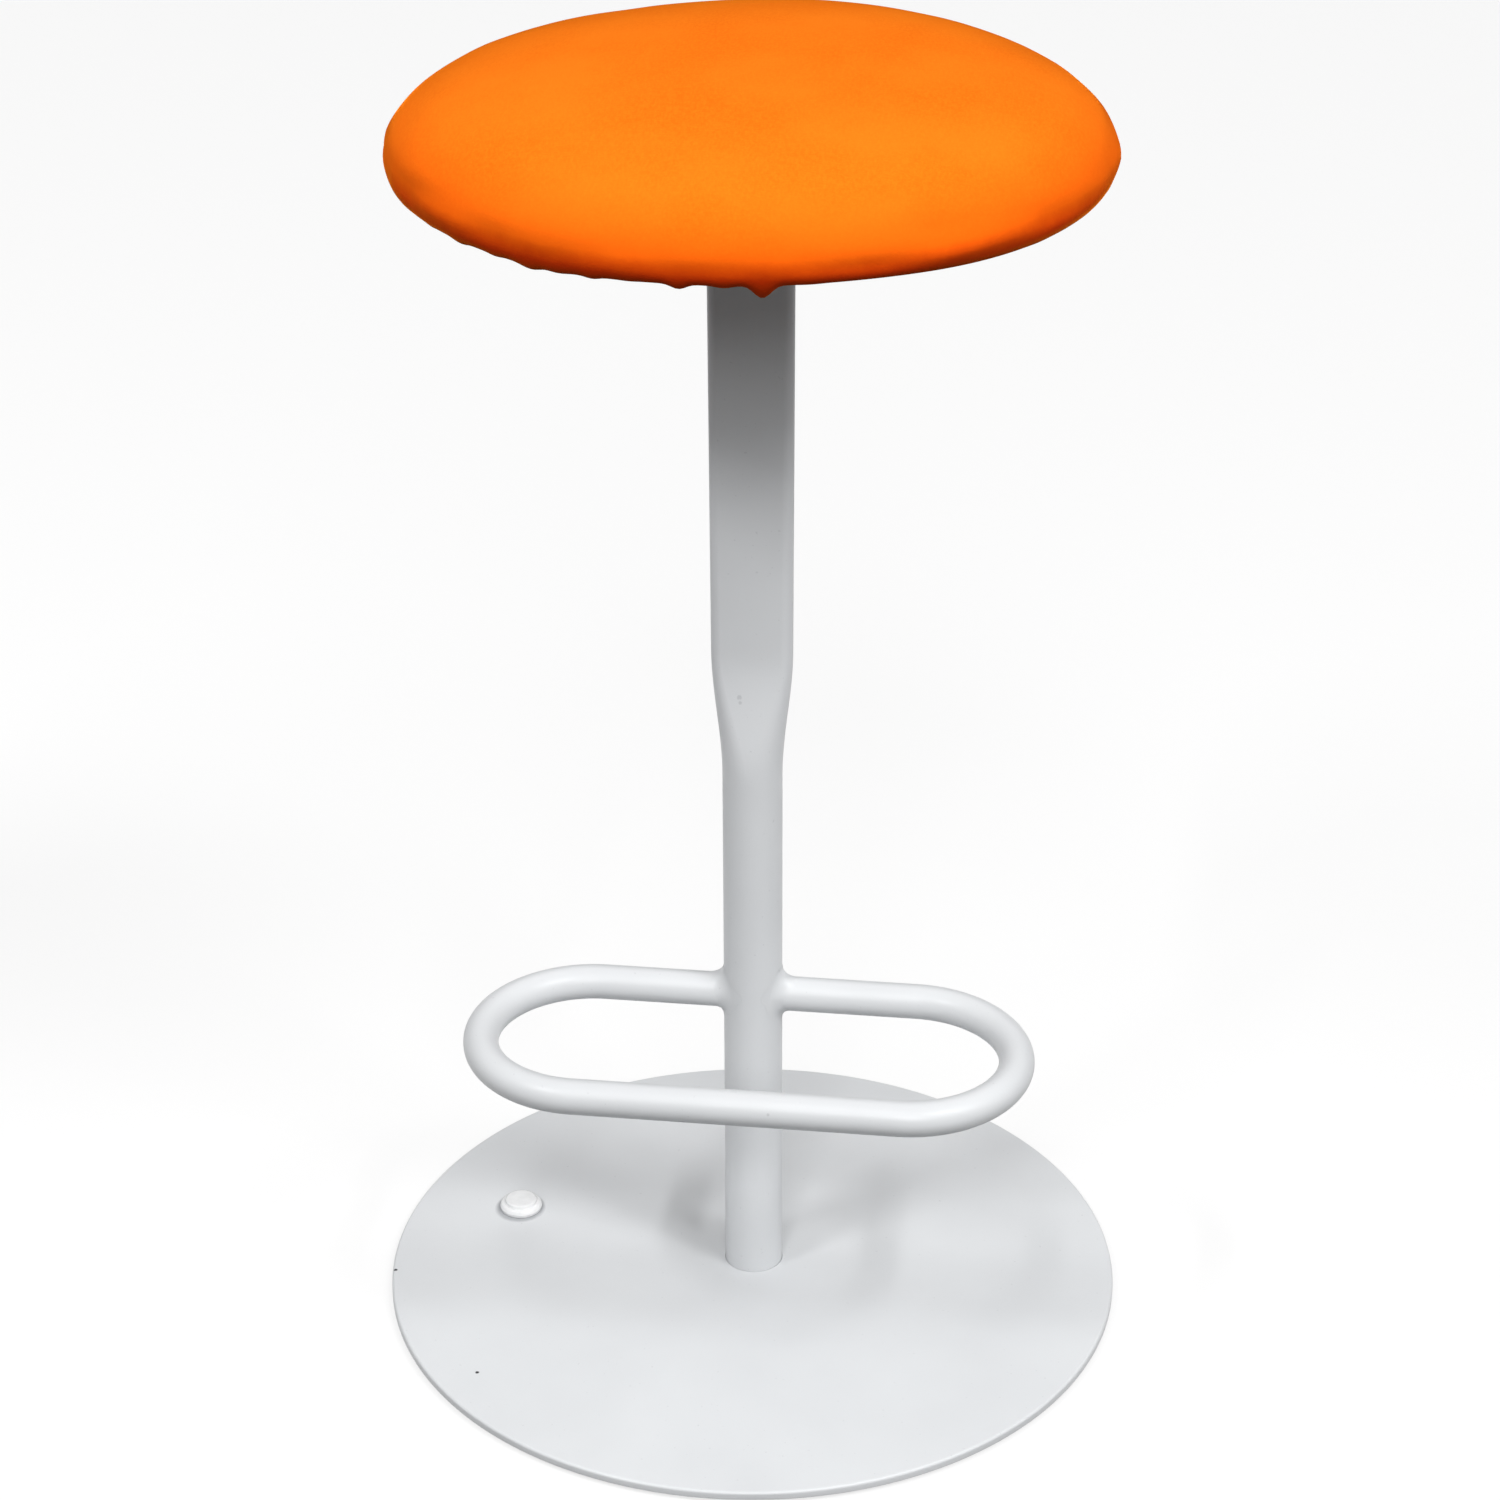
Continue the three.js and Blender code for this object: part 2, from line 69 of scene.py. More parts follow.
def smoothFaces(obj, sharpAngle):  # smooth shading, with edges past this many degrees kept sharp
    form = bmesh.new()
    form.from_mesh(obj.data)
    bmesh.ops.remove_doubles(form, verts=form.verts, dist=1e-6)
    bmesh.ops.recalc_face_normals(form, faces=form.faces)
    for face in form.faces:
        face.smooth = True
    for edge in form.edges:
        edge.smooth = len(edge.link_faces) == 2 and edge.calc_face_angle() < radians(sharpAngle)
    form.to_mesh(obj.data)
    form.free()
    return obj


def bakeModifiers(obj):
    depsgraph = bpy.context.evaluated_depsgraph_get()
    mesh = bpy.data.meshes.new_from_object(obj.evaluated_get(depsgraph))
    obj.modifiers.clear()
    obj.data = mesh
    return obj


def cutAway(obj, cutter):
    cut = obj.modifiers.new("cut", "BOOLEAN")
    cut.operation = "DIFFERENCE"
    cut.solver = "EXACT"
    cut.object = cutter
    bakeModifiers(obj)
    bpy.data.objects.remove(cutter)
    return obj


def roundCorners(corners, steps=5):  # points of an outline whose corners are radius, height and rounding
    points = []
    for i, (x, y, size) in enumerate(corners):
        here = Vector((x, y))
        if size == 0 or i in (0, len(corners) - 1):
            points.append((x, y))
            continue
        back = (Vector(corners[i - 1][:2]) - here).normalized()
        ahead = (Vector(corners[i + 1][:2]) - here).normalized()
        half = acos(max(-1, min(1, back.dot(ahead)))) / 2
        centre = here + (back + ahead).normalized() * (size / sin(half))
        start = here + back * (size / tan(half)) - centre
        end = here + ahead * (size / tan(half)) - centre
        sweep = start.angle(end)
        for k in range(steps + 1):
            share = k / steps
            spoke = start * sin((1 - share) * sweep) + end * sin(share * sweep)
            points.append(tuple(centre + spoke / sin(sweep)))
    return points


def revolve(name, profile, sides, centre=(0, 0), sharpAngle=38):
    # the profile runs from axis to axis, or closes on itself
    points, rings, faces = [], [], []
    for radius, height in profile:
        count = 1 if radius < 1e-7 else sides
        rings.append([len(points) + k for k in range(count)])
        for k in range(count):
            angle = fullTurn * k / sides
            x, y = radius * cos(angle), radius * sin(angle)
            points.append((centre[0] + x, centre[1] + y, height))
    for low, high in zip(rings, rings[1:]):
        for k in range(sides):
            corners = [low[k % len(low)], low[(k + 1) % sides % len(low)],
                       high[(k + 1) % sides % len(high)], high[k % len(high)]]
            face = list(dict.fromkeys(corners))
            if len(face) > 2:
                faces.append(face)
    return smoothFaces(newObject(name, points, faces), sharpAngle)


def rod(name, radius, low, high, sides, centre):  # a plain cylinder to cut with
    return revolve(name, [(0, low), (radius, low), (radius, high), (0, high)], sides, centre)


def turned(name, corners, sides, centre=(0, 0), steps=4):
    return revolve(name, roundCorners(corners, steps), sides, centre)


def bandFaces(low, high, count):  # faces between two rings of points, which start at these numbers
    return [(low + k, low + (k + 1) % count, high + (k + 1) % count, high + k) for k in range(count)]


def loftRings(name, rings, sharpAngle):  # closed rings of points, and the last joins the first
    count = len(rings[0])
    points = [p for ring in rings for p in ring]
    faces = []
    for i in range(len(rings)):
        faces += bandFaces(i * count, (i + 1) % len(rings) * count, count)
    return smoothFaces(newObject(name, points, faces), sharpAngle)


def middle(node):  # centre of a solid's box, in plan
    low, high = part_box(node)
    return (low.x + high.x) / 2, (low.y + high.y) / 2


def halfWidth(node):
    low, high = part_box(node)
    return (high.x - low.x) / 2


# Node helpers

class Number:  # a socket that sums and products can be written with
    def __init__(self, socket):
        self.tree = socket.id_data
        self.socket = socket

    def calc(self, operation, *others):
        inputs = dict(enumerate((self, *others)))
        return Number(addNode(self.tree, "ShaderNodeMath", inputs, operation=operation).outputs[0])

    def __add__(self, other):
        return self.calc("ADD", other)

    def __sub__(self, other):
        return self.calc("SUBTRACT", other)

    def __mul__(self, other):
        return self.calc("MULTIPLY", other)

    def __truediv__(self, other):
        return self.calc("DIVIDE", other)

    def clamped(self):
        return self.calc("MAXIMUM", 0).calc("MINIMUM", 1)


def addNode(tree, kind, inputs=None, **settings):  # an input is a value, or a socket or node to link from
    node = tree.nodes.new(kind)
    for key, value in settings.items():
        setattr(node, key, value)
    for label, value in (inputs or {}).items():
        if isinstance(value, Number):
            value = value.socket
        elif isinstance(value, bpy.types.Node):
            value = value.outputs[0]
        if isinstance(value, bpy.types.NodeSocket):
            tree.links.new(value, node.inputs[label])
        else:
            node.inputs[label].default_value = value
    return node


def growShape(name, makeShape, values):  # a new object of the shape that the nodes make, as a plain mesh
    tree = bpy.data.node_groups.new(name, "GeometryNodeTree")
    for label, value in values.items():  # a socket's kind is called like that of its value
        kind = "Vector" if isinstance(value, tuple) else type(value).__name__.capitalize()
        tree.interface.new_socket(label, in_out="INPUT", socket_type="NodeSocket" + kind)
    tree.interface.new_socket("Geometry", in_out="OUTPUT", socket_type="NodeSocketGeometry")
    outputs = tree.nodes.new("NodeGroupInput").outputs
    given = {label: Number(outputs[label]) for label in values}
    real = addNode(tree, "GeometryNodeRealizeInstances", {"Geometry": makeShape(tree, given)})
    coloured = addNode(tree, "GeometryNodeSetMaterial", {"Geometry": real, "Material": given["Material"]})
    addNode(tree, "NodeGroupOutput", {0: coloured})
    obj = newObject(name, [], [])
    grown = obj.modifiers.new("shape", "NODES")
    grown.node_group = tree
    for socket in tree.interface.items_tree:
        if socket.in_out == "INPUT":
            grown[socket.identifier] = values[socket.name]
    return bakeModifiers(obj)


# Materials. Patterns are in metres, so a scale of 1000 has features about a millimetre wide. A pattern is a
# noise's scale, detail and roughness. Its range says from where to where it counts, and what it becomes
# there if that isn't 0 to 1. A layer is a pattern, its range, and the colour that it adds.

def makeMaterial(look, pattern):  # the pattern has a colour and a height for each place
    material = bpy.data.materials.new(look["name"])
    material.use_nodes = True
    tree = material.node_tree
    shader = tree.nodes["Principled BSDF"]
    for label, value in look["sockets"].items():
        shader.inputs[label].default_value = value
    place = Number(tree.nodes.new("ShaderNodeTexCoord").outputs["Object"])
    if "gloss" in look:
        tree.links.new(overRange(place, *look["gloss"]).socket, shader.inputs["Roughness"])
    colour, height = pattern(look, place)
    bump = addNode(tree, "ShaderNodeBump", {
        "Height": height, "Distance": look["depth"], "Strength": look.get("bumpStrength", 1.0)})
    tree.links.new(colour, shader.inputs["Base Color"])
    tree.links.new(bump.outputs[0], shader.inputs["Normal"])
    return material


def noise(place, scale, detail=2.0, roughness=0.5):
    made = addNode(place.tree, "ShaderNodeTexNoise",
                   {"Vector": place, "Scale": scale, "Detail": detail, "Roughness": roughness})
    return Number(made.outputs["Fac"])


def cells(place, scale):
    made = addNode(place.tree, "ShaderNodeTexVoronoi", {"Vector": place, "Scale": scale})
    return Number(made.outputs["Distance"])


def stretchedNoise(place, stretch, pattern):
    mapped = addNode(place.tree, "ShaderNodeMapping", {"Vector": place, "Scale": stretch})
    return noise(Number(mapped.outputs[0]), *pattern)


def spread(value, low, high, newLow=0.0, newHigh=1.0):
    ranged = addNode(value.tree, "ShaderNodeMapRange", {
        "Value": value, "From Min": low, "From Max": high, "To Min": newLow, "To Max": newHigh})
    return Number(ranged.outputs[0])


def overRange(place, pattern, ends):
    return spread(noise(place, *pattern), *ends)


def distanceTo(place, point):
    away = addNode(place.tree, "ShaderNodeVectorMath", {0: place, 1: point}, operation="DISTANCE")
    return Number(away.outputs["Value"])


def blend(amount, first, second):  # sockets 0, 6 and 7 are the amount and the two colours
    colours = [c if isinstance(c, bpy.types.NodeSocket) else (*c, 1) for c in (first, second)]
    mix = addNode(amount.tree, "ShaderNodeMix", {0: amount, 6: colours[0], 7: colours[1]}, data_type="RGBA")
    return mix.outputs[2]


def addLayers(place, colour, layers):
    for pattern, ends, tone in layers:
        colour = blend(overRange(place, pattern, ends), colour, tone)
    return colour


paint = {
    "name": "paintedSteel",
    "colour": (0.712, 0.727, 0.742),
    "layers": [
        ((9.0, 3.0), (0.3, 0.7), (0.668, 0.682, 0.698)),
        ((420.0, 1.0), (0.745, 0.785, 0.0, 0.25), (0.42, 0.43, 0.45)),
    ],
    "gloss": ((35.0, 3.0), (0.3, 0.7, 0.30, 0.42)),
    "sockets": {"Coat Weight": 0.06, "Coat Roughness": 0.2, "Specular IOR Level": 0.34},
    "peel": (620.0, 1.0),
    "waves": (60.0, 2.0),
    "waveHeight": 1.5,
    "depth": 0.00004,
    "marks": [  # place, radius and which kind
        ((-0.1430, -0.1260, 0.0075), 0.00125, "chip"),
        ((-0.2105, -0.0339, 0.0072), 0.0012, "chip"),
        ((-0.0060, -0.0021, 0.3871), 0.0016, "scuff"),
        ((-0.0055, -0.0027, 0.3840), 0.0011, "scuff"),
        ((0.0249, -0.1251, 0.1960), 0.0010, "scuff"),
    ],
    "chip": ((0.035, 0.035, 0.04), 1.0),  # colour and strength
    "scuff": ((0.42, 0.43, 0.45), 0.45),
    "markEdge": (1.1, 1.5),  # where a mark starts and ends to fade, in its radius
    "ragged": (1400.0, 2.0),
    "raggedness": 0.9,
    "capShadow": ((0.40, 0.41, 0.43), 0.85),  # painted contact shadow round the leveller's cap: colour and strength
    "capShadowShift": (-0.0005, -0.0009),
    "capShadowWidth": (0.0006, 0.0030),
}


def paintPattern(look, place):
    colour = addLayers(place, look["colour"], look["layers"])
    inner, outer = look["markEdge"]
    for point, radius, kind in look["marks"]:
        tone, strength = look[kind]
        away = distanceTo(place, point)
        away = away + noise(place, *look["ragged"]) * radius * look["raggedness"]
        colour = blend(spread(away, radius * inner, radius * outer, strength, 0.0), colour, tone)
    # painted contact shadow: a darker ring on the disc round the leveller's cap, shifted to the front and
    # left
    x, y, radius = *middle("leveller_cap"), halfWidth("leveller_cap")
    shiftX, shiftY = look["capShadowShift"]
    away = distanceTo(place, (x + shiftX, y + shiftY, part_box("leveller_cap")[0].z))
    start, end = look["capShadowWidth"]
    tone, strength = look["capShadow"]
    colour = blend(spread(away, radius + start, radius + end, strength, 0.0), colour, tone)
    peel = noise(place, *look["peel"]) + noise(place, *look["waves"]) * look["waveHeight"]
    return colour, peel


fabric = {
    "name": "orangeStretchFabric",
    "colour": (0.96, 0.198, 0.007),
    "dark": (0.90, 0.155, 0.004),
    # painted shade: deeper, darker tones toward the cover's lower rim and hem, where the cloth turns down
    # away from the light
    "rim": (0.92, 0.112, 0.002),
    "hem": (0.54, 0.032, 0.001),
    "layers": [
        ((16.0, 3.0), (0.38, 0.66, 0.0, 0.55), (0.97, 0.216, 0.009)),
        ((900.0, 1.0), (0.72, 0.78, 0.0, 0.5), (0.90, 0.155, 0.004)),
    ],
    "sockets": {"Roughness": 0.92, "Sheen Weight": 0.90, "Sheen Roughness": 0.30,
                "Sheen Tint": (1.0, 0.26, 0.01, 1), "Specular IOR Level": 0.05},
    "knit": [  # how a pattern is stretched, the pattern, and its share in the nap
        ((1.0, 0.35, 1.0), (700.0, 2.0, 0.6), 0.4),
        ((0.4, 1.0, 1.0), (910.0, 2.0, 0.6), 0.3),
        ((1.0, 1.0, 1.0), (1500.0, 3.0, 0.7), 0.3),
    ],
    "napRange": (0.42, 0.60),
    "loopScale": 840.0,
    "loopHeight": 0.35,
    "depth": 0.00022,
    "bumpStrength": 0.55,
    "waver": (90.0, 4.0, 0.7),
    "waverHeight": 0.004,
    "rimShadeRange": (0.0130, 0.0450, 1.0, 0.0),  # painted rim shade, over heights above the cover's lowest point
    "hemShadeRange": (0.0096, 0.0195, 1.0, 0.0),
    "channelRange": (0.146, 0.160, 0.45, 1.0),  # out from the axis: the painted hem shade is weaker over the elastic's channel
}


def fabricPattern(look, place):
    knit = [stretchedNoise(place, stretch, pattern) * part for stretch, pattern, part in look["knit"]]
    nap = knit[0] + knit[1] + knit[2]
    colour = blend(spread(nap, *look["napRange"]), look["dark"], look["colour"])
    colour = addLayers(place, colour, look["layers"])
    x, y, z = map(Number, addNode(place.tree, "ShaderNodeSeparateXYZ", {"Vector": place}).outputs)
    waver = (noise(place, *look["waver"]) - 0.5) * look["waverHeight"]
    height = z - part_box("seat_cover")[0].z + waver
    # painted shade: the cover gets darker and redder toward its lower rim, and darkest at the hem
    colour = blend(spread(height, *look["rimShadeRange"]), colour, look["rim"])
    along = y - middle("seat_cover")[1]
    away = (x * x + along * along).calc("SQRT")
    hemShadeShare = spread(height, *look["hemShadeRange"]) * spread(away, *look["channelRange"])
    colour = blend(hemShadeShare, colour, look["hem"])
    loops = cells(place, look["loopScale"]) * look["loopHeight"]
    return colour, nap + loops


plywood = {
    "name": "birchPlywood",
    "dark": (0.50, 0.28, 0.115),
    "light": (0.66, 0.42, 0.20),
    "pore": (0.25, 0.12, 0.045),
    "bandRange": (0.38, 0.62),
    "poreRange": (0.62, 0.72, 0.0, 0.6),
    "figureShare": 0.6,
    "patterns": [  # how each is stretched along the board, and its noise: grain, figure and pores
        ((0.06, 1.0, 0.4), (240.0, 5.0, 0.65)),
        ((0.15, 1.0, 0.4), (38.0, 3.0)),
        ((0.04, 1.0, 1.0), (1100.0, 2.0)),
    ],
    "sockets": {"Roughness": 0.62},
    "depth": 0.0001,
}


def plywoodPattern(look, place):
    grain, figure, pores = [stretchedNoise(place, *pattern) for pattern in look["patterns"]]
    bands = figure * look["figureShare"] + grain * (1 - look["figureShare"])
    colour = blend(spread(bands, *look["bandRange"]), look["dark"], look["light"])
    colour = blend(spread(pores, *look["poreRange"]), colour, look["pore"])
    return colour, grain


foam = {
    "name": "seatFoam",
    "dark": (0.62, 0.52, 0.30),
    "light": (0.84, 0.76, 0.52),
    "cellScale": 900.0,
    "cellRange": (0.0, 0.6),
    "sockets": {"Roughness": 0.95},
    "depth": 0.0004,
}


def foamPattern(look, place):
    height = cells(place, look["cellScale"])
    colour = blend(spread(height, *look["cellRange"]), look["dark"], look["light"])
    return colour, height


plainFinishes = {
    "white_plastic": {
        "name": "whitePlastic",
        "colour": (0.78, 0.785, 0.79),
        "layers": [((180.0, 3.0), (0.35, 0.65), (0.84, 0.845, 0.85))],
        "gloss": ((900.0, 4.0, 0.7), (0.5, 0.8, 0.14, 0.34)),
        "sockets": {"Coat Weight": 0.3, "Coat Roughness": 0.08},
        "grain": (350.0, 2.0),
        "depth": 0.00003,
    },
    "grey_plastic": {
        "name": "greyPlastic",
        "colour": (0.14, 0.15, 0.16),
        "layers": [((120.0, 3.0), (0.4, 0.7), (0.22, 0.225, 0.23))],
        "sockets": {"Roughness": 0.55},
        "grain": (1800.0, 3.0, 0.7),
        "depth": 0.00008,
    },
    "zinc": {
        "name": "zincPlate",
        "colour": (0.46, 0.47, 0.50),
        "layers": [((260.0, 2.0), (0.35, 0.65), (0.66, 0.665, 0.66))],
        "gloss": ((900.0, 3.0), (0.3, 0.7, 0.2, 0.42)),
        "sockets": {"Metallic": 1.0},
        "grain": (1500.0, 2.0),
        "depth": 0.00002,
    },
    "elastic": {
        "name": "hemElastic",
        "colour": (0.34, 0.04, 0.003),
        "layers": [((1300.0, 2.0, 0.6), (0.4, 0.6), (0.55, 0.09, 0.006))],
        "sockets": {"Roughness": 0.88, "Sheen Weight": 0.2},
        "grain": (1300.0, 2.0, 0.6),
        "depth": 0.0003,
    },
}


def plainPattern(look, place):
    return addLayers(place, look["colour"], look["layers"]), noise(place, *look["grain"])


materials = {slot: makeMaterial(look, plainPattern) for slot, look in plainFinishes.items()}
materials["paint"] = makeMaterial(paint, paintPattern)
materials["orange_fabric"] = makeMaterial(fabric, fabricPattern)
materials["plywood"] = makeMaterial(plywood, plywoodPattern)
materials["foam"] = makeMaterial(foam, foamPattern)
print("materials made:", len(materials))


def fitPiece(obj, slot, *nodes, body="stool"):
    obj.data.materials.clear()
    obj.data.materials.append(materials[slot])
    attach(obj, body)
    if nodes:
        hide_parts(*nodes)
    return obj


# Column. The tube's wall keeps its length all round where it is pressed flat, as the metal does.

column = {
    "radius": 0.01685,
    "wall": 0.0026,
    "taperStart": 0.336,
    "taperLength": 0.076,
    "shoulderHalf": 0.0065,
    "topHalf": 0.0051,
    "sides": 96,
    "levels": 170,
}
columnCentre = middle("column_foot_weld")
columnLow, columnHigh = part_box("column_tube")


def columnShape(tree, given):
    levels = given["levels"]
    sheet = addNode(tree, "GeometryNodeMeshGrid", {
        "Size X": 1.0, "Size Y": 1.0, "Vertices X": given["sides"] + 1, "Vertices Y": levels * 2 + 1})
    place = addNode(tree, "GeometryNodeInputPosition")
    sheetX, sheetY, _ = map(Number, addNode(tree, "ShaderNodeSeparateXYZ", {"Vector": place}).outputs)
    angle = (sheetX + 0.5) * fullTurn
    row = ((sheetY + 0.5) * (levels * 2)).calc("ROUND").calc("MODULO", levels * 2)
    inside = row.calc("GREATER_THAN", levels - 0.5)
    climb = row / (levels - 1)
    descent = (levels * 2 - 1 - row) / (levels - 1)
    height = given["foot"] + (given["top"] - given["foot"]) * (climb + (descent - climb) * inside)

    up = ((height - given["taperStart"]) / given["taperLength"]).clamped()
    eased = up * up * (up * -2 + 3)
    shoulder = given["taperStart"] + given["taperLength"]
    above = ((height - shoulder) / (given["top"] - shoulder)).clamped()
    end = given["radius"] + (given["shoulderHalf"] - given["radius"]) * eased
    end = end + (given["topHalf"] - given["shoulderHalf"]) * above
    halfFlat = (given["radius"] - end) * (pi / 2)
    bend = end - given["wall"] * inside
    across = angle.calc("COSINE")
    x = across * bend + across.calc("SIGN") * halfFlat
    y = angle.calc("SINE") * bend + given["centreY"]
    point = addNode(tree, "ShaderNodeCombineXYZ", {"X": x, "Y": y, "Z": height})
    bent = addNode(tree, "GeometryNodeSetPosition", {"Geometry": sheet, "Position": point})
    return addNode(tree, "GeometryNodeMergeByDistance", {"Geometry": bent, "Distance": 1e-5})


columnTube = growShape("columnTube", columnShape, {
    **column, "foot": columnLow.z, "top": columnHigh.z, "centreY": columnCentre[1],
    "Material": materials["paint"]})
fitPiece(smoothFaces(columnTube, 60), "paint", "column_tube")
print("column:", len(columnTube.data.polygons), "faces")


# Footrest: a rectangle with filleted corners, swept, and coped to the column

footrest = {
    "sides": 56,
    "bendSteps": 40,
    "copeSides": 128,
    "filletLeg": 0.0052,
    "topLeg": 0.0032,  # what the weld is larger by on top of the bar
    "fullness": 0.42,
    "filletSteps": 9,
    "around": 72,
    "waves": ((3, 0.10), (7, 0.06)),  # how many go round the weld, and their height in its size
    "rootDepth": 0.05,
}
barLow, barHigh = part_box("footrest_tube")
barRadius = (barHigh.z - barLow.z) / 2
barHeight = (barHigh.z + barLow.z) / 2
bendRadius = (barHigh.y - barLow.y) / 2 - barRadius
barMiddle = (barHigh.x + barLow.x) / 2


def barShape(tree, given):
    loop = addNode(tree, "GeometryNodeCurvePrimitiveQuadrilateral",
                   {"Width": given["Length"], "Height": given["Depth"]})
    bend = addNode(tree, "GeometryNodeFilletCurve", {
        "Curve": loop, "Count": given["Bend Steps"], "Radius": given["Bend Radius"], "Limit Radius": True},
        mode="POLY")
    moved = addNode(tree, "GeometryNodeTransform", {"Geometry": bend, "Translation": given["Centre"]})
    section = addNode(tree, "GeometryNodeCurvePrimitiveCircle",
                      {"Resolution": given["Sides"], "Radius": given["Bar Radius"]})
    return addNode(tree, "GeometryNodeCurveToMesh", {"Curve": moved, "Profile Curve": section})


footrestBar = growShape("footrestBar", barShape, {
    "Length": barHigh.x - barLow.x - 2 * barRadius, "Depth": 2 * bendRadius, "Bend Radius": bendRadius,
    "Bar Radius": barRadius, "Bend Steps": footrest["bendSteps"], "Sides": footrest["sides"],
    "Centre": (barMiddle, columnCentre[1] - bendRadius, barHeight), "Material": materials["paint"]})
cope = rod("cope", column["radius"] + gap, barLow.z - past, barHigh.z + past, footrest["copeSides"],
           columnCentre)
cutAway(smoothFaces(footrestBar, 50), cope)
fitPiece(smoothFaces(footrestBar, 50), "paint", "footrest_tube")


def makeFootrestWeld(name, side):  # concave fillet from the bar out onto the column
    steps = footrest["filletSteps"]
    face = column["radius"] + gap / 2
    (few, wave), (many, ripple) = footrest["waves"]

    def onColumn(y):
        return sqrt(max(face * face - y * y, 0))

    rings = []
    for i in range(steps + 2):
        ring = []
        for k in range(footrest["around"]):
            angle = side * fullTurn * k / footrest["around"]
            uneven = 1 + wave * sin(few * angle + side) + ripple * sin(many * angle)
            y, z = barRadius * cos(angle), barRadius * sin(angle)
            corner = Vector((onColumn(y), y, z))
            leg = uneven * (footrest["filletLeg"] + footrest["topLeg"] * max(0, sin(angle)))
            reach = 1 + leg / barRadius
            onBar = corner + Vector((leg, 0, 0))
            onTube = Vector((onColumn(y * reach), y * reach, z * reach))
            if i > steps:
                point = corner.lerp((onBar + onTube) / 2, footrest["rootDepth"])
            else:
                t = i / steps
                control = corner.lerp((onBar + onTube) / 2, 1 - 2 * footrest["fullness"])
                point = onBar * (1 - t) ** 2 + control * 2 * t * (1 - t) + onTube * t ** 2
            ring.append((side * point.x, point.y + columnCentre[1], point.z + barHeight))
        rings.append(ring)
    return loftRings(name, rings, 60)


for side, hand in ((1, "right"), (-1, "left")):
    weld = makeFootrestWeld(f"footrestWeld_{hand}", side)
    fitPiece(weld, "paint", f"footrest_weld_{hand}")
print("footrest:", len(footrestBar.data.polygons), "faces")


# Disc base

disc = {"edgeRound": 0.0017, "underRound": 0.0004, "sides": 320, "footSides": 96, "holeSides": 40,
        "bevel": 0.0024}
glide = {"stemRadius": 0.0035, "edgeRound": 0.0009, "topRound": 0.0003, "stemRound": 0.0004, "sides": 64,
         "places": 6}  # the leveller stands in one of the places
discLow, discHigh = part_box("base_plate")
levelCentre = middle("leveller_cap")
glideNodes = [f"base_glide_{i + 1}" for i in range(glide["places"] - 1)]


def makeDisc():
    made = turned("discBase", [
        (0, discLow.z, 0), (discHigh.x, discLow.z, disc["underRound"]),
        (discHigh.x, discHigh.z, disc["edgeRound"]), (0, discHigh.z, 0)], disc["sides"], steps=7)
    hole, bevel = column["radius"] + gap, disc["bevel"]
    under, over = discLow.z - past, discHigh.z + past
    footHole = revolve("footHole", [(0, under), (hole + bevel + past, under), (hole, discLow.z + bevel),
                                    (hole, over), (0, over)], disc["footSides"], columnCentre)
    cutAway(made, footHole)
    holes = [(levelCentre, halfWidth("leveller_screw") + gap, over)]
    for node in glideNodes:
        holes.append((middle(node), glide["stemRadius"] + gap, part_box(node)[1].z + gap))
    for centre, radius, top in holes:
        cutAway(made, rod("hole", radius, under, top, disc["holeSides"], centre))
    return smoothFaces(made, 30)


discBase = fitPiece(makeDisc(), "paint", "base_plate")
print("disc:", len(discBase.data.polygons), "faces")


# What repeats round a circle: the floor glides, and the screws and washers under the seat

def ringShape(tree, given):
    dots = addNode(tree, "GeometryNodeMeshCircle", {"Vertices": given["Places"], "Radius": given["Reach"]})
    index = addNode(tree, "GeometryNodeInputIndex")
    early = addNode(tree, "FunctionNodeCompare", {2: index, 3: given["Skipped"]},  # whole numbers
                    data_type="INT", operation="LESS_THAN")
    kept = addNode(tree, "GeometryNodeDeleteGeometry",
                   {"Geometry": dots, "Selection": early}, domain="POINT")
    turn = addNode(tree, "ShaderNodeCombineXYZ", {"Z": given["First Angle"]})
    moved = addNode(tree, "GeometryNodeTransform",
                    {"Geometry": kept, "Translation": given["Centre"], "Rotation": turn})
    source = addNode(tree, "GeometryNodeObjectInfo", {"Object": given["Piece"]})
    return addNode(tree, "GeometryNodeInstanceOnPoints",
                   {"Points": moved, "Instance": source.outputs["Geometry"]})


def placeInRing(name, source, places, skipped, centre, slot, nodes):  # the skipped places come first
    first = Vector(middle(nodes[0])) - Vector(centre)
    made = growShape(name, ringShape, {
        "Piece": source, "Places": places, "Skipped": skipped, "Reach": first.length,
        "First Angle": atan2(first.y, first.x) - skipped * fullTurn / places,
        "Centre": (*centre, 0.0), "Material": materials[slot]})
    bpy.data.objects.remove(source)
    fitPiece(made, slot, *nodes)


def makeGlide():
    low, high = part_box(glideNodes[0])
    radius, stem = halfWidth(glideNodes[0]), glide["stemRadius"]
    padTop = discLow.z - gap
    return turned("oneGlide", [
        (0, low.z, 0), (radius, low.z, glide["edgeRound"]), (radius, padTop, glide["topRound"]),
        (stem, padTop, 0), (stem, high.z, glide["stemRound"]), (0, high.z, 0)], glide["sides"])


placeInRing("floorGlides", makeGlide(), glide["places"], 1, (0, 0), "grey_plastic", glideNodes)

fastener = {
    "places": 4,
    "sides": 48,
    "boreSides": 32,
    "socketFlats": 0.004,
    "socketDepth": 0.002,
    "shankRadius": 0.003,
    "shankRound": 0.0004,
    "headFlat": 0.62,  # shares of the head's radius, at which its flat face and its rim end
    "headRim": 0.35,
    "headRounds": (0.0006, 0.0012),
    "edgeRound": 0.0002,
}
screwNodes, washerNodes, teeNutNodes = [[f"{kind}_{i + 1}" for i in range(fastener["places"])]
                                        for kind in ("seat_screw", "seat_washer", "tee_nut")]


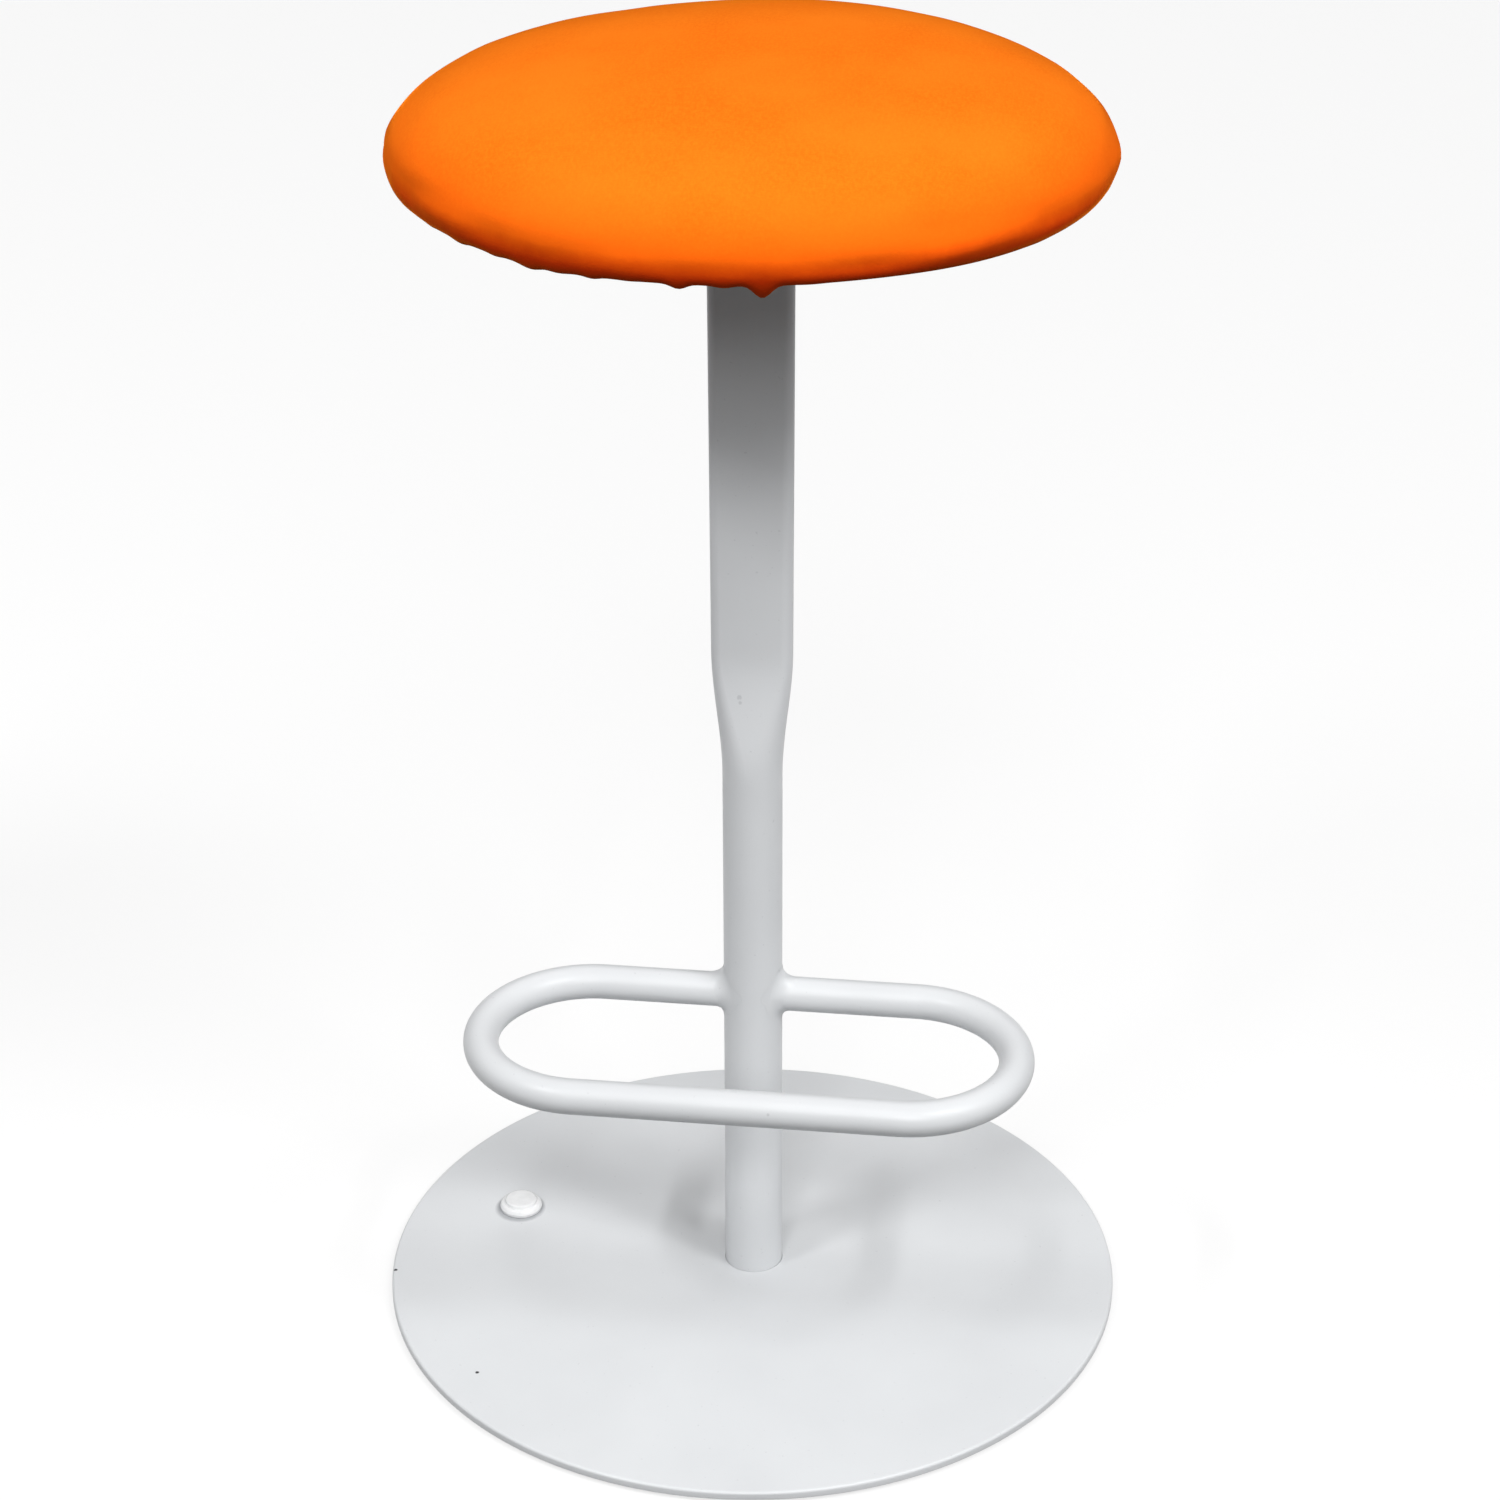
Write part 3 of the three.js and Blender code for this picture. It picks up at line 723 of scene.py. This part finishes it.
def makeSeatScrew():
    low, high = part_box(screwNodes[0])
    head, shank = halfWidth(screwNodes[0]), fastener["shankRadius"]
    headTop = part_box(washerNodes[0])[0].z - gap
    faceRound, rimRound = fastener["headRounds"]
    one = turned("oneScrew", [
        (0, low.z, 0), (head * fastener["headFlat"], low.z, faceRound),
        (head, low.z + head * fastener["headRim"], rimRound), (head, headTop, fastener["edgeRound"]),
        (shank, headTop, 0), (shank, high.z, fastener["shankRound"]), (0, high.z, 0)], fastener["sides"])
    corner = fastener["socketFlats"] / 2 / cos(pi / 6)
    cutAway(one, rod("socket", corner, low.z - past, low.z + fastener["socketDepth"], 6, (0, 0)))
    return smoothFaces(one, 30)


def makeSeatWasher():
    low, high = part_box(washerNodes[0])
    radius, bore, edge = halfWidth(washerNodes[0]), fastener["shankRadius"] + gap, fastener["edgeRound"]
    return turned("oneWasher", [(bore, low.z, 0), (radius, low.z, edge), (radius, high.z, edge),
                                (bore, high.z, 0), (bore, low.z, 0)], fastener["sides"], steps=3)


placeInRing("seatScrews", makeSeatScrew(), fastener["places"], 0, columnCentre, "zinc", screwNodes)
placeInRing("seatWashers", makeSeatWasher(), fastener["places"], 0, columnCentre, "zinc", washerNodes)
print("repeated pieces placed")


# The leveller's cap and foot, the mounting plate, and the column's welds at its two ends

cap = {
    "sides": 96,
    "rise": 0.0014,  # the photograph shows a taller dome than the solid has
    "wall": 0.0008,
    "boreShare": 0.66,
    "footInset": 0.0004,
    "footRound": 0.0003,
    "steps": [  # shares of the radius and of the height, and rounding
        (1.0, 0.30, 0.0006),
        (0.93, 0.58, 0.0012),
        (0.80, 0.66, 0.0004),
        (0.755, 0.62, 0.0002),
        (0.735, 0.90, 0.0005),
    ],
    "domeDrop": 0.0002,
    "domeRound": 0.001,
}


def makeLevellerCap():
    low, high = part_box("leveller_cap")
    radius, top = halfWidth("leveller_cap"), high.z + cap["rise"]
    height, inside = top - low.z, radius * cap["boreShare"]
    steps = [(radius * out, low.z + height * up, size) for out, up, size in cap["steps"]]
    outline = roundCorners([
        (inside, low.z, 0), (radius - cap["footInset"], low.z, cap["footRound"]), *steps,
        (inside, top - cap["domeDrop"], cap["domeRound"]), (0, top, 0)], 6)
    outline += [(0, top - cap["wall"]), (inside, top - cap["wall"]), (inside, low.z)]
    return revolve("levellerCap", outline, cap["sides"], levelCentre, 50)


foot = {"sides": 64, "socketRadius": 0.0033, "socketDepth": 0.0012, "edgeRound": 0.0009, "topRound": 0.0003,
        "socketRound": 0.0002}


def makeLevellerFoot():
    low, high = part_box("leveller_foot")
    radius, socket = halfWidth("leveller_foot"), foot["socketRadius"]
    floor = high.z - foot["socketDepth"]
    return turned("levellerFoot", [
        (0, low.z, 0), (radius, low.z, foot["edgeRound"]), (radius, high.z, foot["topRound"]),
        (socket, high.z, foot["socketRound"]), (socket, floor, 0), (0, floor, 0)],
        foot["sides"], levelCentre)


footWeld = {"sides": 96, "steps": 6, "hollow": 0.8}


def makeFootWeld():
    low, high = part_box("column_foot_weld")
    inner, outer = column["radius"] + gap, halfWidth("column_foot_weld")
    outline = [(inner, low.z), (outer, low.z)]
    for k in range(1, footWeld["steps"]):
        part = k / footWeld["steps"]
        rise = (high.z - low.z) * part ** footWeld["hollow"]
        outline.append((outer + (inner - outer) * part, low.z + rise))
    outline += [(inner, high.z), (inner, low.z)]
    return revolve("columnFootWeld", outline, footWeld["sides"], columnCentre)


mountPlate = {"sides": 192, "underRound": 0.001, "topRound": 0.0006}


def makeMountPlate():
    low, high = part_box("seat_mount_plate")
    radius = halfWidth("seat_mount_plate")
    made = turned("seatMountPlate", [
        (0, low.z, 0), (radius, low.z, mountPlate["underRound"]), (radius, high.z, mountPlate["topRound"]),
        (0, high.z, 0)], mountPlate["sides"], columnCentre, 5)
    for node in screwNodes:
        cutAway(made, rod("bore", fastener["shankRadius"] + gap, low.z - past, high.z + past,
                          fastener["boreSides"], middle(node)))
    return smoothFaces(made, 30)


topWeld = {"steps": 7, "around": 128, "waves": ((9, 0.05), (23, 0.04))}


def makeTopWeld():  # concave bead round the flattened end of the column
    low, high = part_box("column_top_weld")
    leg, end = high.z - low.z, column["topHalf"]
    halfFlat = (column["radius"] - end) * pi / 2
    (few, wave), (many, ripple) = topWeld["waves"]
    bead = []
    for i in range(topWeld["steps"] + 1):
        t = pi / 2 * i / topWeld["steps"]
        bead.append((leg * (1 - sin(t)), leg * (1 - cos(t))))
    rings = []
    for grow, drop in [*bead, (0, 0)]:
        ring = []
        for k in range(topWeld["around"]):
            angle = fullTurn * (k + 0.5) / topWeld["around"]
            side = copysign(1, cos(angle))
            size = end + gap / 2 + grow * (1 + wave * sin(few * angle) + ripple * sin(many * angle))
            ring.append((side * halfFlat + size * cos(angle),
                         size * sin(angle) + columnCentre[1], high.z - drop))
        rings.append(ring)
    return loftRings("columnTopWeld", rings, 50)


fitPiece(makeLevellerCap(), "white_plastic", "leveller_cap")
fitPiece(makeLevellerFoot(), "grey_plastic", "leveller_foot", body="leveller_foot")
fitPiece(makeFootWeld(), "paint", "column_foot_weld")
fitPiece(makeMountPlate(), "paint", "seat_mount_plate")
fitPiece(makeTopWeld(), "paint", "column_top_weld")
print("leveller, mounting plate and welds made")


# Seat cover: cloth blown up over the cushion's form, then gathered under the rim

cushion = {
    "crown": 0.0493,
    "roll": 0.012,
    "rollIn": 0.007,
    "fullness": 2.75,
    "startInset": 0.0045,
    "voxel": 0.0055,
    "cloth": {"quality": 6, "mass": 1.5, "tension_stiffness": 8, "compression_stiffness": 8,
              "bending_stiffness": 0.6, "use_pressure": True, "uniform_pressure_force": 4.0},
    "frames": 20,
    "heldInside": 0.022,  # the cloth is held on the underside, up to this far in from the rim
    "mostMove": 0.0080,
    "unevenness": 1.3,  # how much of the blown cloth's own bulges the cover keeps
    "probes": 120,
    "probeReach": 0.02,  # how far outside the form a probe starts
    "probeLength": 0.05,
    "blur": (0.2, 0.6, 1.0, 0.6, 0.2),
    "sides": 160,  # of the foam and of the form that the cloth starts from
    "around": 540,  # of the cover
    "crownRings": 34,
    "rollRings": 14,
    "formRings": (6, 24),  # of the roll and the crown
    "foamRings": (8, 30),
    "crowding": 0.85,  # brings the crown's rings closer together at the rim
    "slack": 0.001,  # above the form's lowest ring, at which it still counts as low
    "thickness": 0.0014,
    "channelInset": 0.0042,  # from the elastic's own outer edge in to the hem's opening
    "channelWidth": 0.0088,
    "channelDrop": 0.0027,
    "channelRounds": (0.0011, 0.0013),
    "channelSlope": 0.004,
    "slopeRound": 0.002,
    "lip": 0.001,  # how far the hem's inner edge stands up, and how far from the roll its profile ends
    "lipSteps": 8,
    "lumps": [  # angle round from +X in degrees, place out from the middle, rise and spread
        (115, 0.140, -0.0014, 0.055),
        (52, 0.145, 0.0010, 0.060),
        (200, 0.120, 0.0006, 0.050),
    ],
}
gathers = {
    "count": 27,
    "seed": 4,
    "shift": 0.3,  # how far a gather may be from its even place, in steps
    "hidden": (-12, 192),  # the stretch that the photograph doesn't show, in degrees
    "drop": (0.0006, 0.0021),
    "width": (1.5, 2.6),
    "lift": 0.0009,
    "sharpness": 2.2,
    "bite": 1.5,  # how soon the hang fades out up the roll
    "tuck": 0.25,  # how far the roll goes in, in how far the hem hangs
    "creases": 0.0011,
    "creaseShift": 1.5,
    "creaseWidth": 0.8,
    "creaseWidest": 4,  # broader gathers have no crease
    "creaseDepth": (0.35, 0.002, 1.2),  # least share, drop of a gather that adds the full share, and most
    "creaseRun": (0.35, 2.6),  # depth at the creases' ends, and how much deeper they are halfway
    "photographed": [  # angle in degrees, how far the hem hangs there, and half width in degrees
        (-70, -0.0025, 24), (-98, -0.0012, 12), (-138, -0.0012, 16),
        (-151, 0.0004, 2.2), (-141, 0.0005, 1.4), (-133, 0.0015, 1.9), (-125, 0.0008, 1.5),
        (-118, 0.0021, 2.1), (-113, 0.0009, 2.0), (-107, 0.0011, 1.4), (-101, 0.0003, 1.5),
        (-93.5, 0.0027, 1.5), (-86.8, 0.0012, 1.6), (-81, 0.0068, 1.7), (-74, 0.0003, 2.0),
        (-33, 0.0003, 2.5), (-19, 0.0002, 3.0),
    ],
}
seatRadius = halfWidth("seat_cover")
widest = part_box("seat_cover")[1].z - cushion["crown"]
hemLevel = widest - cushion["roll"]
hemOpening = halfWidth("hem_elastic") - cushion["channelInset"]
channelEdge = hemOpening + cushion["channelWidth"] + cushion["channelSlope"]
rollFoot = seatRadius - cushion["rollIn"]


def cushionOutline(inset, rollSteps, crownSteps):  # from the lower edge up to the middle of the crown
    radius, roll = seatRadius - inset, cushion["roll"] - inset
    rollIn, crown = cushion["rollIn"] - inset, cushion["crown"] - inset
    points = []
    for i in range(rollSteps, 0, -1):
        a = pi / 2 * i / rollSteps
        points.append((radius - rollIn * (1 - cos(a)), widest - roll * sin(a)))
    for i in range(crownSteps, 0, -1):
        a = pi / 2 * (i / crownSteps) ** cushion["crowding"]
        points.append((radius * sin(a) ** (2 / cushion["fullness"]), widest + crown * cos(a)))
    points.append((0, widest + crown))
    return points


def inMillimetres(length):
    return round(float(length) * 1000, 2)


def inflatedForm():  # the cloth simulation, as a tree that rays can be cast at
    inset = cushion["startInset"]
    outline = [(0, hemLevel + inset)] + cushionOutline(inset, *cushion["formRings"])
    form = revolve("clothForm", outline, cushion["sides"], columnCentre)
    remesh = form.modifiers.new("remesh", "REMESH")
    remesh.mode = "VOXEL"
    remesh.voxel_size = cushion["voxel"]
    bakeModifiers(form)
    start = np.array([v.co[:] for v in form.data.vertices])
    held = form.vertex_groups.new(name="held")
    away = np.hypot(start[:, 0] - columnCentre[0], start[:, 1] - columnCentre[1])
    low = start[:, 2] < hemLevel + inset + cushion["slack"]
    under = np.where(low & (away < seatRadius - cushion["heldInside"]))[0]
    held.add([int(i) for i in under], 1.0, "REPLACE")
    cloth = form.modifiers.new("cloth", "CLOTH")
    for key, value in cushion["cloth"].items():
        setattr(cloth.settings, key, value)
    cloth.settings.effector_weights.gravity = 0
    cloth.settings.vertex_group_mass = "held"
    cloth.point_cache.frame_start = 1
    cloth.point_cache.frame_end = cushion["frames"]
    for number in range(1, cushion["frames"] + 1):
        scene.frame_set(number)
    blown = form.evaluated_get(bpy.context.evaluated_depsgraph_get()).data
    end = np.array([v.co[:] for v in blown.vertices])
    scene.frame_set(1)
    moved = end - start
    far = np.linalg.norm(moved, axis=1, keepdims=True)
    moved *= np.minimum(1, cushion["mostMove"] / np.maximum(far, 1e-9))
    print("cloth moved, mm: mean", inMillimetres(far.mean()), "most", inMillimetres(far.max()))
    points = [Vector(p) for p in start + moved]
    tree = BVHTree.FromPolygons(points, [tuple(f.vertices) for f in form.data.polygons])
    bpy.data.objects.remove(form)
    return tree


def hemOutline():  # from the cover's inner hem, round the elastic's channel, out to the roll
    low = hemLevel - cushion["channelDrop"]
    outer = hemOpening + cushion["channelWidth"]
    innerRound, outerRound = cushion["channelRounds"]
    points = roundCorners([
        (hemOpening, hemLevel + cushion["lip"], 0), (hemOpening, low, innerRound), (outer, low, outerRound),
        (channelEdge, hemLevel, cushion["slopeRound"]), (rollFoot - cushion["lip"], hemLevel, 0)], 5)
    last, end, steps = Vector(points[-2]), Vector(points[-1]), cushion["lipSteps"]
    return points[:-1] + [tuple(last.lerp(end, i / steps)) for i in range(1, steps + 1)]


def gatherList():
    rng = np.random.default_rng(gathers["seed"])
    first, last = gathers["hidden"]
    count, shift = gathers["count"], gathers["shift"]
    places = first + (last - first) / count * (np.arange(count) + 0.5 + rng.uniform(-shift, shift, count))
    drops = rng.uniform(*gathers["drop"], count)
    widths = rng.uniform(*gathers["width"], count)
    return list(zip(places, drops, widths)) + gathers["photographed"]


def hemHang(degrees):  # how far the hem hangs at each angle, in metres
    total = np.full_like(degrees, -gathers["lift"])
    for place, drop, width in gatherList():
        apart = (degrees - place + 180) % 360 - 180
        total += drop * np.exp(-np.abs(apart / width) ** gathers["sharpness"])
    return total


def hemCreases(degrees):  # folds that run in under the seat from each gather, from 0 to about 1
    total = np.zeros_like(degrees)
    least, fullDrop, most = gathers["creaseDepth"]
    for place, drop, width in gatherList():
        if width < gathers["creaseWidest"]:
            apart = (degrees - place - gathers["creaseShift"] + 180) % 360 - 180
            depth = min(1, least + abs(drop) / fullDrop)
            total += depth * np.exp(-(apart / (width * gathers["creaseWidth"])) ** 2)
    return np.minimum(total, most)


def lumpAt(x, y):
    rise = 0
    for angle, out, height, size in cushion["lumps"]:
        place = radians(angle)
        apart = hypot(x - out * cos(place), y - out * sin(place))
        rise = rise + height * exp(-(apart / size) ** 2)
    return rise


def domeNormals(dome):
    normals = []
    for i in range(len(dome) - 1):
        ahead = Vector(dome[i + 1]) - Vector(dome[max(i - 1, 0)])
        normals.append(Vector((ahead.y, -ahead.x)).normalized())
    return normals


def blurred(values, weights):  # along the first axis, whose ends have been padded
    count = len(values) - len(weights) + 1
    return sum(w * values[k:k + count] for k, w in enumerate(weights)) / sum(weights)


def clothBulges(dome, normals, degrees):  # how far the blown cloth stands off an even round form
    blown = inflatedForm()
    probes = np.arange(cushion["probes"]) * 360 / cushion["probes"]
    reach = cushion["probeReach"]
    rows = []
    for (radius, height), out in zip(dome, normals):
        row = []
        for angle in np.radians(probes):
            c, s = cos(angle), sin(angle)
            push = Vector((out.x * c, out.x * s, out.y))
            start = Vector((radius * c, radius * s + columnCentre[1], height))
            hit = blown.ray_cast(start + push * reach, -push, cushion["probeLength"])[0]
            row.append((hit - start).dot(push) if hit else np.nan)
        rows.append(row)
    rows = np.array(rows)
    mean = np.nanmean(rows, axis=1, keepdims=True)
    print("cloth against outline, mm:", [inMillimetres(v) for v in mean[::8, 0]])
    bulges = np.where(np.isnan(rows), 0, rows - mean)
    ends = len(cushion["blur"]) // 2
    bulges = blurred(np.pad(bulges, ((0, 0), (ends, ends)), "wrap").T, cushion["blur"]).T
    bulges = blurred(np.pad(bulges, ((ends, ends), (0, 0)), "edge"), cushion["blur"])
    print("bulges, mm:", inMillimetres(np.abs(bulges).max()))
    return cushion["unevenness"] * np.array([np.interp(degrees, probes, row, period=360) for row in bulges])


def hemRings(cosines, sines, hang, creases):
    rings = []
    ends, halfway = gathers["creaseRun"]
    for radius, height in hemOutline():
        part = min(1, max(0, (radius - channelEdge) / (rollFoot - channelEdge)))
        depth = gathers["creases"] * (ends + halfway * part * (1 - part))
        heights = height - hang * part ** 2 - creases * depth
        rings.append([(radius * c, radius * s, h) for c, s, h in zip(cosines, sines, heights)])
    return rings


def domeRings(degrees, cosines, sines, hang):
    rings = []
    dome = cushionOutline(0, cushion["rollRings"], cushion["crownRings"])
    normals = domeNormals(dome)
    for (radius, height), out, bulge in zip(dome, normals, clothBulges(dome, normals, degrees)):
        low = max(0, (widest - height) / cushion["roll"])
        bite = low ** gathers["bite"]
        radii = radius + bulge * out.x * (1 - low) - hang * gathers["tuck"] * bite
        heights = height + bulge * out.y * (1 - low) - hang * bite
        ring = [(r * c, r * s, h) for r, c, s, h in zip(radii, cosines, sines, heights)]
        rings.append([(x, y, z + lumpAt(x, y) * (1 - low)) for x, y, z in ring])
    return rings


def makeSeatCover():
    around = cushion["around"]
    degrees = np.arange(around) * 360 / around
    cosines, sines = np.cos(np.radians(degrees)), np.sin(np.radians(degrees))
    hang = hemHang(degrees)
    rings = hemRings(cosines, sines, hang, hemCreases(degrees)) + domeRings(degrees, cosines, sines, hang)
    points = [(x, y + columnCentre[1], z) for ring in rings for x, y, z in ring]
    faces = []
    for i in range(len(rings) - 1):
        faces += bandFaces(i * around, (i + 1) * around, around)
    last = (len(rings) - 1) * around
    points.append(tuple(np.mean(points[last:], axis=0)))
    faces += [(last + k, last + (k + 1) % around, len(points) - 1) for k in range(around)]
    cover = smoothFaces(newObject("seatCover", points, faces), 180)
    wall = cover.modifiers.new("wall", "SOLIDIFY")
    wall.thickness = cushion["thickness"]
    wall.offset = -1
    bakeModifiers(cover)
    for face in cover.data.polygons:
        face.use_smooth = True
    return cover


def makeFoamPad():  # round the board's edge and up under the cover
    boardTop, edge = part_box("seat_board")[1].z + gap, halfWidth("seat_board") + gap
    inset, slack = cushion["startInset"], cushion["slack"]
    outline = cushionOutline(inset, *cushion["foamRings"])
    outline = [p for p in outline if p[1] > hemLevel + inset + slack]
    outline = [(0, boardTop), (edge, boardTop), (edge, hemLevel + inset + 2 * slack)] + outline
    return revolve("foamPad", outline, cushion["sides"], columnCentre, 50)


fitPiece(makeFoamPad(), "foam", "foam_pad")
seatCover = fitPiece(makeSeatCover(), "orange_fabric", "seat_cover")
print("seat cover:", len(seatCover.data.polygons), "faces")


# The solids that stay as they are get their finish

def dress(slot, *nodes):
    for node in nodes:
        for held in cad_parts[node].material_slots:
            held.material = materials[slot]


dress("plywood", "seat_board")
dress("elastic", "hem_elastic")
dress("zinc", "leveller_screw", "leveller_lock_nut", *teeNutNodes)


# Floor, light and camera

studio = {
    "floorHalf": 9,
    "floorColour": (0.96, 0.96, 0.96),
    "floorGlow": 0.72,
    "floorBounce": (0.04, 0.04, 0.042),
    "worldBounce": 0.09,
    "ceiling": 3.0,
    "strips": [  # name, middle across and along, width, length and strength of a ceiling lamp
        ("stripRight", (1.35, -1.43), (0.12, 1.43), 0.38),
        ("stripMiddle", (-0.13, -1.40), (0.12, 1.02), 0.115),
        ("stripLeft", (-1.62, -1.75), (0.12, 1.00), 0.51),
    ],
    "softLamps": [  # name, direction that the light travels, strength and angle in degrees
        ("window", (0.0, 0.707, -0.707), 0.115, 14),
        ("windowLow", (-0.142, 0.807, -0.574), 0.26, 24),
        ("windowRight", (-0.613, 0.326, -0.719), 0.245, 14),
        ("wallLeft", (0.99, 0.0, -0.139), 0.12, 50),
        ("wallRight", (-0.99, 0.0, -0.139), 0.14, 50),
        ("highLeft", (0.7, 0.0, -0.7), 0.035, 50),
        ("highRight", (-0.7, 0.0, -0.7), 0.07, 50),
        ("highBack", (0.0, -0.5, -0.866), 0.10, 40),
    ],
}


def rayShare(tree, *kinds):  # 1 for rays of these kinds, and 0 for the others
    path = addNode(tree, "ShaderNodeLightPath")
    found, *others = [Number(path.outputs[f"Is {kind} Ray"]) for kind in kinds]
    for other in others:
        found = found.calc("MAXIMUM", other)
    return found


def makeFloor():
    half = studio["floorHalf"]
    corners = [(-half, -half, 0), (half, -half, 0), (half, half, 0), (-half, half, 0)]
    floor = newObject("floor", corners, [(0, 1, 2, 3)])
    material = bpy.data.materials.new("floor")
    material.use_nodes = True
    tree = material.node_tree
    tree.nodes.remove(tree.nodes["Principled BSDF"])
    shown = addNode(tree, "ShaderNodeBsdfDiffuse", {"Color": (*studio["floorColour"], 1)})
    glow = addNode(tree, "ShaderNodeEmission", {"Color": (1, 1, 1, 1), "Strength": 1.0})
    paper = addNode(tree, "ShaderNodeMixShader", {0: studio["floorGlow"], 1: shown, 2: glow})
    hidden = addNode(tree, "ShaderNodeBsdfDiffuse", {"Color": (*studio["floorBounce"], 1)})
    seen = rayShare(tree, "Camera", "Glossy", "Transmission")
    mixed = addNode(tree, "ShaderNodeMixShader", {0: seen, 1: hidden, 2: paper})
    tree.links.new(mixed.outputs[0], tree.nodes["Material Output"].inputs["Surface"])
    floor.data.materials.append(material)


def makeWorld():
    world = bpy.data.worlds.new("studio")
    scene.world = world
    world.use_nodes = True
    tree = world.node_tree
    ground = tree.nodes["Background"]
    ground.inputs["Color"].default_value = (1, 1, 1, 1)
    seen = rayShare(tree, "Camera", "Transmission")
    strength = spread(seen, 0.0, 1.0, studio["worldBounce"], 1.0)
    tree.links.new(strength.socket, ground.inputs["Strength"])


def makeLamps():
    for name, direction, strength, spreadAngle in studio["softLamps"]:
        data = bpy.data.lights.new(name, "SUN")
        data.energy = strength * pi
        data.angle = radians(spreadAngle)
        addObject(name, data).rotation_euler = Vector(direction).to_track_quat("-Z", "Y").to_euler()
    for name, (across, along), (width, length), strength in studio["strips"]:
        data = bpy.data.lights.new(name, "AREA")
        data.shape = "RECTANGLE"
        data.size = width
        data.size_y = length
        data.energy = strength * (pi * studio["ceiling"]) ** 2
        lamp = addObject(name, data)
        lamp.location = (across, along, studio["ceiling"])
        lamp.visible_camera = False


view = {
    "location": (0.2302, -1.7891, 1.2979),
    "turn": 7.30, "tilt": 62.47, "roll": -0.166,  # in degrees
    "lens": 87.99, "sensor": 36,
    "photoWidth": 1500, "axisX": 752.6, "axisY": 743.6,  # the pixel that the lens points at
}


def makeCamera():
    data = bpy.data.cameras.new("camera")
    data.lens = view["lens"]
    data.sensor_width = view["sensor"]
    data.shift_x = 0.5 - view["axisX"] / view["photoWidth"]
    data.shift_y = view["axisY"] / view["photoWidth"] - 0.5
    place = Matrix.Translation(view["location"])
    for key, axis in (("turn", "Z"), ("tilt", "X"), ("roll", "Z")):
        place = place @ Matrix.Rotation(radians(view[key]), 4, axis)
    scene.camera = addObject("camera", data)
    scene.camera.matrix_world = place


makeFloor()
makeWorld()
makeLamps()
makeCamera()
scene.view_settings.view_transform = "Standard"
print("stage set")
